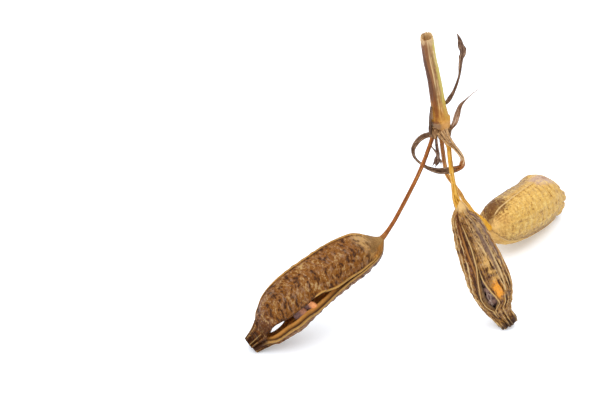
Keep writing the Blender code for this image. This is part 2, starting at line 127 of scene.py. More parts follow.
MIDDLE_POD = dict(
    base=(15.0, 18.0, 38.4),
    tip=(31.5, 10.6, 0.9),
    bow=((0, 0), (0.05, -0.3), (0.1, 0.2), (0.3, 0.3), (0.5, 0.35), (0.7, 0.6), (0.84, 1.1),
         (1, 0.3)),
    outline=((0, 0.9), (0.05, 1.5), (0.1, 2.6), (0.14, 3.5), (0.2, 4.4), (0.32, 5.2), (0.5, 5.9),
             (0.62, 6.1), (0.7, 5.9), (0.79, 4.9), (0.86, 4.0), (0.92, 3.0), (0.96, 2.6), (1, 2.4)),
    hollow=((0.14, 1.4), (0.24, 3.9), (0.4, 4.9), (0.6, 5.0), (0.75, 4.2), (0.85, 2.7), (0.9, 1.6)),
    sutures=(150.0, 30.0, -90.0),
    drift=((0, -2), (0.18, -13), (0.3, -15), (0.44, -10), (0.58, -3), (0.66, -4), (0.72, -7),
           (0.765, -11), (0.82, -9), (0.9, -7), (1, -12)),
    slits=(
        SHUT,
        ((0.46, 0), (0.52, 4), (0.58, 11), (0.66, 25), (0.72, 37), (0.765, 40), (0.8, 22),
         (0.825, 0)),
        ((0.55, 0), (0.7, 8), (0.84, 8), (0.87, 0)),
    ),
    lean=(0.5, 0.5, 0.5),
    swellings=((0.2, 80, 0.1, 50, -0.4), (0.97, -80, 0.04, 50, 0.6)),
    pitch=2.6,
    bumps=0.1,
    lips=(both((0, 0.45), (1, 0.5)),
          (((0, 0.45), (0.4, 0.5), (1, 0.6)), ((0, 0.4), (0.4, 0.4), (0.6, 0.5), (1, 0.5))),
          both((0, 0.45), (1, 0.5))),
    furrows=(1.0, 0.8),
    cleft=(0.6, 0.6, 0.6),
    lip_place=0.55,
    lip=0.42,
    groove=0.5,
    tip_folds=0.3,
    base_folds=0.12,
    # long ribs and furrows of a valve: place across it along the pod, height, half width
    ridges=((((0, 0.16), (0.26, 0.17), (0.37, 0.26), (0.55, 0.4), (1, 0.42)), 0.3, 0.018),
            (((0, 0.3), (0.18, 0.36), (0.44, 0.45), (0.56, 0.52), (0.66, 0.44), (0.77, 0.27),
              (1, 0.3)), 0.42, 0.02),
            (((0, 0.25), (0.4, 0.33), (1, 0.36)), -0.25, 0.03),
            (((0, 0.5), (0.5, 0.6), (1, 0.55)), 0.3, 0.018),
            (((0, 0.58), (0.5, 0.68), (1, 0.63)), -0.3, 0.03),
            (((0, 0.68), (0.5, 0.75), (1, 0.72)), 0.32, 0.018),
            (((0, 0.84), (0.4, 0.87), (1, 0.84)), -0.45, 0.045)),
    slant=0.0,
)
RIGHT_POD = dict(
    base=(28.3, 46.2, 12.5),
    tip=(52.2, 79.0, 5.8),
    bow=((0, 0), (0.35, 0.5), (0.6, 0.3), (0.82, -0.3), (1, 1.8)),
    outline=((0, 0.9), (0.02, 2.8), (0.06, 4.7), (0.11, 6.2), (0.2, 7.3), (0.3, 7.9), (0.5, 8.3),
             (0.7, 8.2), (0.81, 7.5), (0.92, 6.2), (1, 4.7)),
    hollow=None,
    sutures=(70.0, -50.0, -170.0),
    drift=((0, 0), (1, 0)),
    slits=None,
    lean=(0.5, 0.5, 0.5),
    swellings=((0.04, -90, 0.06, 45, 1.0), (0.15, 80, 0.12, 45, 0.1), (0.79, -85, 0.06, 32, 1.0),
               (0.92, -50, 0.08, 40, -0.6), (0.97, 75, 0.05, 32, 1.3)),
    pitch=3.0,
    bumps=0.12,
    lips=(both((0, 0.5), (1, 0.4)),
          both((0, 0.5), (0.1, 0.6), (0.6, 0.55), (0.75, 0.1), (1, 0.1)),
          both((0, 0.5), (1, 0.5))),
    furrows=(0.4, 0.25),
    cleft=(0.0, 0.0, 0.0),
    lip_place=0.0,
    lip=0.3,
    groove=0.35,
    tip_folds=0.12,
    base_folds=0.35,
    ridges=((((0, 0.5), (1, 0.5)), 0.15, 0.03), (((0, 0.24), (1, 0.27)), 0.12, 0.03)),
    slant=0.1,
)

# Colours are red, green and blue as a screen shows them. marks lie under the pod's grain, and over
# it lie stains and, in places, painted shade: place along the pod, degrees round it, reach of both,
# colour, amount.
# hollow and ridge are laid by the fold height, and dark by the low ribs and furrows, as well as by
# mottling: partly painted shade and painted highlight
DARK_HUSK = dict(
    hollow=(54, 24, 0), wall=(116, 68, 12), ridge=(166, 132, 82), bloom=(146, 120, 98),
    # inner is far paler than this wall's own colour: painted light inside the slit, where little
    # light reaches. rim is the lips' tan made lighter for the lip that faces down: partly painted
    # light
    rim=(172, 128, 64), dark=(58, 28, 4), inner=(222, 156, 78), neck=(182, 142, 84),
    # the first mark, a pale patch high on the shoulder, is painted highlight
    marks=((0.1, 60, 0.06, 50, (178, 140, 86), 0.8), (0.05, -45, 0.04, 30, (192, 124, 40), 0.8),
           (0.1, -80, 0.06, 25, (112, 84, 76), 0.8), (0.86, 20, 0.1, 90, (96, 50, 12), 0.7)),
    stains_and_shade=((0.86, 0, 0.05, 60, (70, 36, 8), 0.5),),
    painted_fold_shade=1.3, lines=0.4, flecks=1.8, fleck_size=(0.42, 0.65), low=-0.04, bloom_share=0.5,
    bloom_size=(0.7, 1.4), folds=0.6, smooth=0.17,
)
GREY_HUSK = dict(
    hollow=(70, 38, 12), wall=(152, 108, 52), ridge=(200, 168, 116), bloom=(112, 90, 88),
    rim=(188, 154, 102), dark=(64, 36, 18), inner=(92, 68, 62), neck=(206, 158, 84),
    marks=((0.35, -30, 0.3, 34, (182, 148, 100), 0.8), (0.3, 42, 0.36, 20, (118, 64, 8), 1.0),
           (0.5, -14, 0.12, 16, (210, 162, 88), 0.8), (0.67, -11, 0.08, 16, (232, 150, 44), 1.0)),
    stains_and_shade=((0.02, -20, 0.06, 120, (222, 184, 122), 0.75),
            (0.67, -11, 0.05, 8, (230, 152, 48), 0.6), (0.6, -80, 0.35, 14, (190, 126, 50), 0.6),
            (0.28, -58, 0.28, 11, (108, 84, 78), 0.8), (0.34, -27, 0.24, 8, (110, 86, 76), 0.75),
            (0.26, 40, 0.24, 5, (80, 40, 6), 0.8), (0.42, 37, 0.28, 3, (168, 116, 58), 0.8),
            (0.5, -36, 0.2, 4, (200, 170, 122), 0.7), (0.98, -20, 0.03, 120, (66, 48, 40), 0.8)),
    painted_fold_shade=0.35, lines=2.4, flecks=1.4, fleck_size=(1.0, 0.7), low=-0.3, bloom_share=0.6,
    bloom_size=(0.5, 0.6), folds=1.0, smooth=0.15,
)
GOLDEN_HUSK = dict(
    hollow=(142, 98, 42), wall=(202, 160, 82), ridge=(222, 190, 114), bloom=(150, 116, 82),
    rim=(196, 164, 112), dark=(112, 70, 26), inner=(120, 80, 40), neck=(206, 160, 92),
    marks=((0.4, -84, 0.45, 26, (158, 128, 92), 0.9), (0.76, -45, 0.13, 22, (184, 156, 140), 0.9),
           (0.0, -20, 0.03, 60, (236, 196, 124), 0.9)),
    # the first three are painted shade: the underside, the back and the hollow round the base
    # darkened
    stains_and_shade=((0.5, 96, 0.75, 48, (112, 80, 56), 0.75), (0.45, -112, 0.5, 38, (118, 86, 62), 0.85),
            (0.09, -72, 0.13, 40, (92, 52, 12), 0.9), (0.76, -52, 0.14, 16, (176, 146, 132), 0.5)),
    painted_fold_shade=0.5, lines=1.2, flecks=2.2, fleck_size=(0.7, 0.8), low=-0.5, bloom_share=0.6,
    bloom_size=(0.7, 0.9), folds=1.0, smooth=0.15,
)
# depths in mm of the relief too fine for the mesh, and how rough each skin is
HUSK_RELIEF, HUSK_ROUGHNESS = 0.15, 0.62
FIBRE_RELIEF = 0.1
SEED_RELIEF, SEED_ROUGHNESS = 0.08, 0.45
SPECULAR = 0.14

# seeds still in a pod: place along it, degrees round it, distance from its axis, degrees by which
# a loose one has turned from lying flat across the pod to lying along it, degrees that it faces
# away from its place, and how pale its end is, partly the seed's own tint and partly painted
# highlight
LEFT_SEEDS = ((0.26, 65, 2.4, 0, 0, 0.5), (0.34, -170, 2.7, 0, 0, 0.5),
              (0.44, 70, 2.8, 0, 0, 0.5), (0.52, -150, 2.8, 0, 0, 0.5),
              (0.575, -52, 5.8, 60, 25, 1), (0.65, -46, 5.7, 80, 30, 0.35),
              (0.61, -38, 4.7, 70, 20, 0.0), (0.65, 80, 2.8, 0, 0, 0.5))
MIDDLE_SEEDS = ((0.34, 32, 2.0, 0, 0, 0.5), (0.42, -88, 2.1, 0, 0, 0.5),
                (0.5, 30, 2.2, 0, 0, 0.5), (0.58, 150, 2.2, 0, 0, 0.5),
                (0.62, 30, 3.4, 70, 0, 0.3), (0.68, 24, 3.5, 60, 20, 0.6),
                (0.73, 16, 3.3, 70, 0, 0.2), (0.78, 20, 2.6, 60, -20, 0.8))
# threads of torn skin over the middle pod's seeds: places along it, degrees, distances
THREADS = (((0.56, 30, 3.4), (0.64, 24, 4.2), (0.72, 32, 4.3), (0.79, 20, 3.4)),
           ((0.6, 18, 3.6), (0.68, 12, 4.2), (0.74, 22, 4.4), (0.8, 30, 3.2)),
           ((0.68, 38, 3.6), (0.7, 22, 4.3), (0.73, 4, 3.9)))

STEM_PATH = ((4.0, 10.0, 93.1), (5.3, 13.0, 85.4), (7.0, 15.6, 77.6), (8.3, 17.8, 70.4),
             (9.4, 19.4, 64.0), (9.7, 20.0, 60.6), (9.7, 20.2, 58.7))
STEM_OUTLINE = ((0, 1.75), (0.35, 1.85), (0.6, 1.95), (0.73, 2.1), (0.81, 2.35), (0.83, 2.4),
                (0.85, 2.8), (0.91, 2.8), (0.935, 2.5), (0.97, 2.4), (1, 1.8))
STEM_LENGTH = 36.0
STEM_ROWS = 120
BORE_RADIUS = 1.25
BORE_DEPTH = 6.0
# share of the way down the stem, place across it, reach of both, colour, amount
STEM_MARKS = (
    (0.13, 0, 0.06, 9, (204, 172, 128), 0.7), (0.35, 0.35, 0.3, 0.25, (122, 72, 40), 0.7),
    (0.5, -0.1, 0.2, 0.12, (134, 92, 60), 0.7), (0.72, 0.5, 0.17, 0.3, (120, 64, 16), 0.95),
    (0.73, -0.1, 0.12, 0.1, (150, 98, 44), 0.8), (0.897, 0.6, 0.035, 0.75, (138, 106, 78), 1.0),
    (0.9, -0.6, 0.035, 0.7, (212, 156, 88), 0.9), (0.863, 0.55, 0.007, 0.45, (104, 60, 34), 0.8),
    (0.93, 0.6, 0.009, 0.6, (70, 42, 24), 0.9), (0.97, 0.2, 0.035, 1.6, (70, 42, 24), 1.0),
    (0.55, 0.75, 0.15, 0.3, (84, 48, 28), 0.8), (0.4, 0.85, 0.18, 0.22, (84, 50, 30), 0.9),
    (0.24, 0.0, 0.08, 0.25, (140, 104, 72), 0.7), (0.42, 0.12, 0.2, 0.1, (206, 174, 124), 0.8),
    (0.63, 0.3, 0.1, 0.25, (104, 66, 38), 0.7))
COLLAR_CENTRE = np.array((9.6, 20.0, 0.0))
COLLAR_SCALES = 16
LEFT_STALK = ((8.0, 19.4, 60.0), (7.5, 19.0, 58.2), (6.3, 18.0, 54.6), (4.9, 16.6, 50.9),
              (2.4, 14.8, 45.5), (-0.9, 12.6, 39.3), (-3.9, 10.9, 34.0), (-6.4, 10.0, 30.6),
              (-7.6, 9.6, 29.6))
MIDDLE_STALK = ((10.7, 19.0, 60.0), (10.9, 18.5, 58.2), (11.9, 17.3, 56.2), (12.3, 16.8, 53.4),
                (12.8, 16.9, 50.1), (13.4, 17.2, 46.6), (14.1, 17.6, 42.6), (15.0, 18.0, 38.4),
                (15.7, 17.8, 36.6))
RIGHT_STALK = ((9.8, 21.0, 60.0), (10.0, 21.5, 58.2), (10.6, 22.6, 53.5), (11.2, 24.0, 49.7),
               (11.8, 25.5, 46.1), (13.0, 28.0, 41.0), (14.9, 30.0, 37.2), (16.3, 31.8, 34.3),
               (17.5, 33.2, 32.0), (18.9, 35.2, 28.6), (20.5, 37.6, 25.4), (22.6, 40.5, 21.2),
               (25.1, 43.0, 17.8), (26.6, 44.7, 15.4), (28.3, 46.2, 12.5), (29.4, 47.4, 12.1))
LOOP_PATH = ((9.7, 15.5, 62.0), (10.9, 15.0, 60.2), (12.9, 14.9, 57.7), (14.6, 15.6, 55.1),
             (15.9, 17.0, 52.3), (15.9, 19.0, 49.0), (13.0, 20.6, 46.9), (10.0, 20.9, 46.4),
             (7.3, 21.3, 46.9), (4.7, 21.8, 48.3), (2.9, 22.2, 50.1), (2.4, 22.6, 52.3),
             (3.5, 22.6, 54.7), (5.3, 22.2, 56.6), (7.0, 21.6, 57.6), (8.4, 21.0, 58.6))
TALL_PATH = ((10.2, 18.6, 68.4), (11.5, 18.8, 69.7), (12.7, 19.2, 71.5), (13.6, 20.0, 73.8),
             (14.3, 20.6, 77.0), (14.7, 21.0, 80.6), (14.8, 21.0, 84.1), (14.1, 20.4, 87.2),
             (13.0, 19.6, 89.6))
SHORT_PATH = ((12.4, 18.9, 60.8), (13.6, 18.9, 63.0), (14.3, 19.4, 65.2), (15.1, 20.0, 67.5),
              (16.7, 20.4, 69.5), (19.7, 21.0, 72.1))
SHEATH_PATH = ((6.7, 18.0, 59.8), (6.6, 17.8, 62.0), (6.5, 17.6, 64.6), (6.5, 16.8, 68.8))
BUD_PATH = ((8.5, 20.3, 59.0), (8.5, 20.3, 57.9), (9.0, 21.0, 53.9), (9.4, 21.2, 51.5),
            (9.2, 21.0, 50.1), (9.1, 21.0, 48.1))
TENDRIL_PATH = ((7.4, 20.6, 54.9), (7.6, 20.4, 54.2), (8.1, 20.3, 53.6), (8.8, 20.2, 52.7),
                (9.3, 20.4, 51.2), (9.5, 20.8, 49.6))
# scraps of the bud's tepals: how far each hangs to the side, to the front and up
BUD_SCRAPS = ((-0.5, 0.3, 0.2), (0.45, 0.1, 0.6), (-0.15, 0.5, -0.1), (0.3, -0.3, 1.4))
FAN_ROWS = 80


# ---------------------------------------------------------------- plain sums

def curve(stations, at):
    """Smooth values at `at`, through (place, value) stations, with no overshoot between them."""
    places, values = np.array(stations, float).T
    step = np.diff(places)
    slope = np.diff(values) / step
    tangent = np.zeros_like(values)
    for i in range(1, len(values) - 1):
        if slope[i - 1] * slope[i] > 0:
            weight = (2 * step[i] + step[i - 1], step[i] + 2 * step[i - 1])
            tangent[i] = sum(weight) / (weight[0] / slope[i - 1] + weight[1] / slope[i])
    tangent[0], tangent[-1] = slope[0], slope[-1]
    at = np.clip(np.asarray(at, float), places[0], places[-1])
    i = np.clip(np.searchsorted(places, at, side="right") - 1, 0, len(step) - 1)
    x = (at - places[i]) / step[i]
    from_start = (1 + 2 * x) * (1 - x) ** 2 * values[i] + x * (1 - x) ** 2 * step[i] * tangent[i]
    from_end = x * x * (3 - 2 * x) * values[i + 1] + x * x * (x - 1) * step[i] * tangent[i + 1]
    return from_start + from_end


def bell(x, centre, width):
    return np.exp(-((x - centre) / width) ** 2)


def ramp(x, start, end):
    x = np.clip((x - start) / (end - start), 0, 1)
    return x * x * (3 - 2 * x)


def unit(vectors):
    vectors = np.asarray(vectors, float)
    return vectors / np.linalg.norm(vectors, axis=-1, keepdims=True)


def along_path(points, count):
    """Evenly placed points and directions on a smooth line through the given points."""
    points = np.array(points, float)
    reach = np.concatenate([[0], np.cumsum(np.linalg.norm(np.diff(points, axis=0), axis=1))])
    reach /= reach[-1]
    slopes = np.gradient(points, reach, axis=0)
    u = np.linspace(0, 1, count)
    i = np.clip(np.searchsorted(reach, u, side="right") - 1, 0, len(points) - 2)
    step = (reach[i + 1] - reach[i])[:, None]
    x = (u - reach[i])[:, None] / step
    places = ((1 + 2 * x) * (1 - x) ** 2 * points[i] + x * (1 - x) ** 2 * step * slopes[i]
              + x * x * (3 - 2 * x) * points[i + 1] + x * x * (x - 1) * step * slopes[i + 1])
    return places, unit(np.gradient(places, axis=0))


# ---------------------------------------------------------------- node trees

class Field:
    """One output of a node, which plain sums can be written with."""

    def __init__(self, build, socket):
        self.build = build
        self.socket = socket

    def __add__(self, other):
        return self.build.math("ADD", self, other)

    def __sub__(self, other):
        return self.build.math("SUBTRACT", self, other)

    def __rsub__(self, other):
        return self.build.math("SUBTRACT", other, self)

    def __mul__(self, other):
        return self.build.math("MULTIPLY", self, other)

    __radd__ = __add__


class Build:
    """Puts nodes in a tree, of geometry or of a material, and links them."""

    def __init__(self, tree):
        self.tree = tree

    def add(self, kind, *values, out=0, **settings):
        node = self.tree.nodes.new(kind)
        for key, setting in settings.items():
            setattr(node, key, setting)
        for socket, value in zip([s for s in node.inputs if s.enabled], values):
            self.give(socket, value)
        return Field(self, [s for s in node.outputs if s.enabled][out])

    def give(self, socket, value):
        if isinstance(value, Field):
            self.tree.links.new(value.socket, socket)
        elif value is not None:
            socket.default_value = value

    def math(self, kind, *values):
        return self.add("ShaderNodeMath", *values, operation=kind)

    def vector(self, kind, *values, out=0):
        return self.add("ShaderNodeVectorMath", *values, operation=kind, out=out)

    def step(self, value, low, high):
        """0 below low, 1 above high, smooth between."""
        return self.add("ShaderNodeMapRange", value, low, high, 0.0, 1.0,
                        interpolation_type="SMOOTHSTEP")

    def xyz(self, x, y, z):
        return self.add("ShaderNodeCombineXYZ", x, y, z)

    def part(self, vector, axis):
        return self.add("ShaderNodeSeparateXYZ", vector, out=axis)

    def noise(self, place, scale, detail=2.0, rough=0.5, colour=False):
        return self.add("ShaderNodeTexNoise", place, scale, detail, rough, out=int(colour))

    def stretched(self, place, along, across):
        """A place whose pattern is drawn out: first number along the piece, second round it."""
        return self.vector("MULTIPLY", place, (1 / along, 1 / across, 1 / across))


class GeometryBuild(Build):
    """A geometry tree with named inputs. It ends with its instances made real and a material."""

    def __init__(self, name, **numbers):
        super().__init__(bpy.data.node_groups.new(name, "GeometryNodeTree"))
        face = self.tree.interface
        face.new_socket("Geometry", in_out="INPUT", socket_type="NodeSocketGeometry")
        face.new_socket("Geometry", in_out="OUTPUT", socket_type="NodeSocketGeometry")
        for label, number in numbers.items():
            kind = "NodeSocketInt" if isinstance(number, int) else "NodeSocketFloat"
            face.new_socket(label, in_out="INPUT", socket_type=kind).default_value = number
        face.new_socket("Material", in_out="INPUT", socket_type="NodeSocketMaterial")
        entry = self.tree.nodes.new("NodeGroupInput")
        self.inputs = {s.name: Field(self, s) for s in entry.outputs if s.name}

    def attribute(self, name, vector=False):
        kind = "FLOAT_VECTOR" if vector else "FLOAT"
        return self.add("GeometryNodeInputNamedAttribute", name, data_type=kind)

    def store(self, geometry, name, value, vector=False):
        kind = "FLOAT_VECTOR" if vector else "FLOAT"
        return self.add("GeometryNodeStoreNamedAttribute", geometry, None, name, value,
                        data_type=kind)

    def end(self, geometry):
        real = self.add("GeometryNodeRealizeInstances", geometry)
        looks = self.add("GeometryNodeSetMaterial", real, None, self.inputs["Material"])
        leave = self.tree.nodes.new("NodeGroupOutput")
        self.tree.links.new(looks.socket, leave.inputs[0])
        return self.tree


def grown(carrier, tree, **values):
    """Runs a tree on a mesh and returns the result as a plain mesh."""
    holder = bpy.data.objects.new("holder", carrier)
    bpy.context.scene.collection.objects.link(holder)
    modifier = holder.modifiers.new("growth", "NODES")
    modifier.node_group = tree
    for item in tree.interface.items_tree:
        if item.in_out == "INPUT" and item.name in values:
            modifier[item.identifier] = values[item.name]
    graph = bpy.context.evaluated_depsgraph_get()
    mesh = bpy.data.meshes.new_from_object(holder.evaluated_get(graph), depsgraph=graph,
                                           preserve_all_data_layers=True)
    holder.modifiers.remove(modifier)
    bpy.data.objects.remove(holder, do_unlink=True)
    return mesh


def strand_tree():
    """A closed tube or leaf on a path. The path's points say how wide, how thick and which way."""
    build = GeometryBuild("strand", Sides=24, Ridges=8, Ridge_depth=0.0, Crease_depth=0.0,
                          Crease_length=4.0, Crease_width=0.6, Cup=0.0, Ragged=0.0, Seed=1.0)
    given = build.inputs
    line = build.add("GeometryNodeMeshToCurve", given["Geometry"])
    line = build.store(line, "centre", build.add("GeometryNodeInputPosition"), vector=True)
    profile = build.add("GeometryNodeCurvePrimitiveCircle", given["Sides"])
    profile = build.store(profile, "around", build.add("GeometryNodeSplineParameter"))
    skin = build.add("GeometryNodeCurveToMesh", line, profile, None, True)
    turn = build.attribute("around") * (2 * math.pi)
    cosine, sine = build.math("COSINE", turn), build.math("SINE", turn)
    along = build.attribute("along")
    wide, thick = build.attribute("wide"), build.attribute("thick")
    grain = build.xyz(along + given["Seed"] * 37.0, cosine * wide, sine * wide)
    crease_place = build.vector("DIVIDE", grain, build.xyz(
        given["Crease_length"], given["Crease_width"], given["Crease_width"]))
    crease = build.noise(crease_place, 1.0, 3.0) * 2.0 - 1.0
    wander = build.noise(build.xyz(along * 0.15, given["Seed"], 0.0), 1.0) * 2.0
    ridge = build.math("COSINE", (turn + wander) * given["Ridges"])
    height = ridge * given["Ridge_depth"] + crease * given["Crease_depth"]
    reach = build.math("MINIMUM", height, thick * 0.8)
    fray = build.noise(build.xyz(cosine * 3.0, sine * 3.0, given["Seed"]), 1.0, 3.0) - 0.5
    place = build.attribute("centre", vector=True)
    for way, shift in (("across", cosine * (wide + reach)),
                       ("out", sine * (thick + reach) + given["Cup"] * wide * cosine * cosine),
                       ("tangent", fray * given["Ragged"] * build.attribute("frayed"))):
        shift = build.vector("SCALE", build.attribute(way, vector=True), shift)
        place = build.vector("ADD", place, shift)
    skin = build.add("GeometryNodeSetPosition", skin, None, build.vector("SCALE", place, MM))
    skin = build.store(skin, "height", height)
    skin = build.store(skin, "grain", grain, vector=True)
    return build.end(build.store(skin, "side", cosine))


def wall_tree():
    """Dries a pod's wall: irregular cross folds, long creases and a fine grain."""
    build = GeometryBuild("dried wall", Fold_depth=0.2, Fold_pitch=1.2, Fold_length=4.0,
                          Crease_depth=0.1, Crease_pitch=0.8, Grain_depth=0.04, Warp=1.2, Seed=1.0)
    given = build.inputs
    grain = build.attribute("grain", vector=True)
    shift = build.noise(build.vector("ADD", grain, build.xyz(0.0, 0.0, given["Seed"] * 50.0)),
                        0.3, 2.0, colour=True)
    shift = build.vector("SCALE", build.vector("SUBTRACT", shift, (0.5, 0.5, 0.5)), given["Warp"])
    loose = build.vector("ADD", grain, shift)
    length = given["Fold_length"]
    folds = build.vector("DIVIDE", loose, build.xyz(given["Fold_pitch"], length, length))
    broad, small = (1.0 - build.math("ABSOLUTE", build.noise(folds, scale, 1.0) - 0.5) * 5.6
                    for scale in (1.0, 2.3))
    fold = broad * 0.65 + small * 0.35
    pitch = given["Crease_pitch"]
    creases = build.vector("DIVIDE", loose, build.xyz(9.0, pitch, pitch))
    crease = build.noise(creases, 1.0, 2.0) * 3.0 - 1.5
    fine = build.noise(loose, 2.2, 3.0) * 2.0 - 1.0
    firm = build.attribute("firm")
    height = fold * given["Fold_depth"] + crease * given["Crease_depth"]
    height = height * firm + fine * given["Grain_depth"]
    offset = build.vector("SCALE", build.add("GeometryNodeInputNormal"), height * MM)
    skin = build.store(given["Geometry"], "height", (fold * 0.7 + fine * 0.3) * firm)
    skin = build.add("GeometryNodeSetPosition", skin, None, None, offset)
    rested = build.vector("MAXIMUM", build.add("GeometryNodeInputPosition"), (-9.0, -9.0, 0.0))
    return build.end(build.add("GeometryNodeSetPosition", skin, None, rested))


def seed_tree():
    """Flat D-shaped seeds, one on each point, lying across the pod."""
    build = GeometryBuild("seeds", Wrinkle=0.06, Seed=3.0)
    given = build.inputs
    ball = build.add("GeometryNodeMeshIcoSphere", 1.0, 5)
    here = build.add("GeometryNodeInputPosition")
    x, y, z = (build.part(here, axis) for axis in range(3))
    flat = build.math("MINIMUM", x, 0.55 + x * 0.3)
    shifted = build.vector("ADD", here, build.xyz(given["Seed"], 0.0, 0.0))
    pucker = build.noise(shifted, 3.0, 3.0) - 0.5
    swell = build.xyz(flat * 0.55, y * 0.5, z * (0.17 + pucker * given["Wrinkle"] * 2.0))
    ball = build.store(ball, "outer", flat)
    ball = build.add("GeometryNodeSetPosition", ball, None, swell)
    turn = build.add("FunctionNodeAxesToRotation", build.attribute("stack", vector=True),
                     build.attribute("outward", vector=True), primary_axis="Z", secondary_axis="X")
    size = build.attribute("size") * MM
    many = build.add("GeometryNodeInstanceOnPoints", given["Geometry"], None, ball, None, None,
                     turn, build.xyz(size, size, size))
    return build.end(many)


# ---------------------------------------------------------------- meshes

def to_frame(places):
    return (np.asarray(places, float) + TO_FRAME) * MM


def carrier(places, edges=(), faces=(), **attributes):
    """A mesh that carries named values on its points. Numbers stay as given; places are final."""
    mesh = bpy.data.meshes.new("carrier")
    mesh.from_pydata([tuple(p) for p in places], list(edges), list(faces))
    for name, values in attributes.items():
        values = np.asarray(values, float)
        vector = values.ndim == 2
        layer = mesh.attributes.new(name, "FLOAT_VECTOR" if vector else "FLOAT", "POINT")
        layer.data.foreach_set("vector" if vector else "value", values.ravel())
    return mesh


def piece(name, meshes, node, sharp=SHARP):
    """Joins meshes into one named piece that stands for a node of the frame."""
    whole = bmesh.new()
    looks = []
    for mesh in meshes:
        start = len(whole.faces)
        whole.from_mesh(mesh)
        whole.faces.ensure_lookup_table()
        look = [m for m in mesh.materials if m][0]
        if look not in looks:
            looks.append(look)
        for face in whole.faces[start:]:
            face.material_index = looks.index(look)
            face.smooth = True
    bmesh.ops.recalc_face_normals(whole, faces=whole.faces)
    data = bpy.data.meshes.new(name)
    whole.to_mesh(data)
    whole.free()
    for look in looks:
        data.materials.append(look)
    data.set_sharp_from_angle(angle=math.radians(sharp))
    obj = bpy.data.objects.new(name, data)
    bpy.context.scene.collection.objects.link(obj)
    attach(obj, "root")
    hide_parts(node)


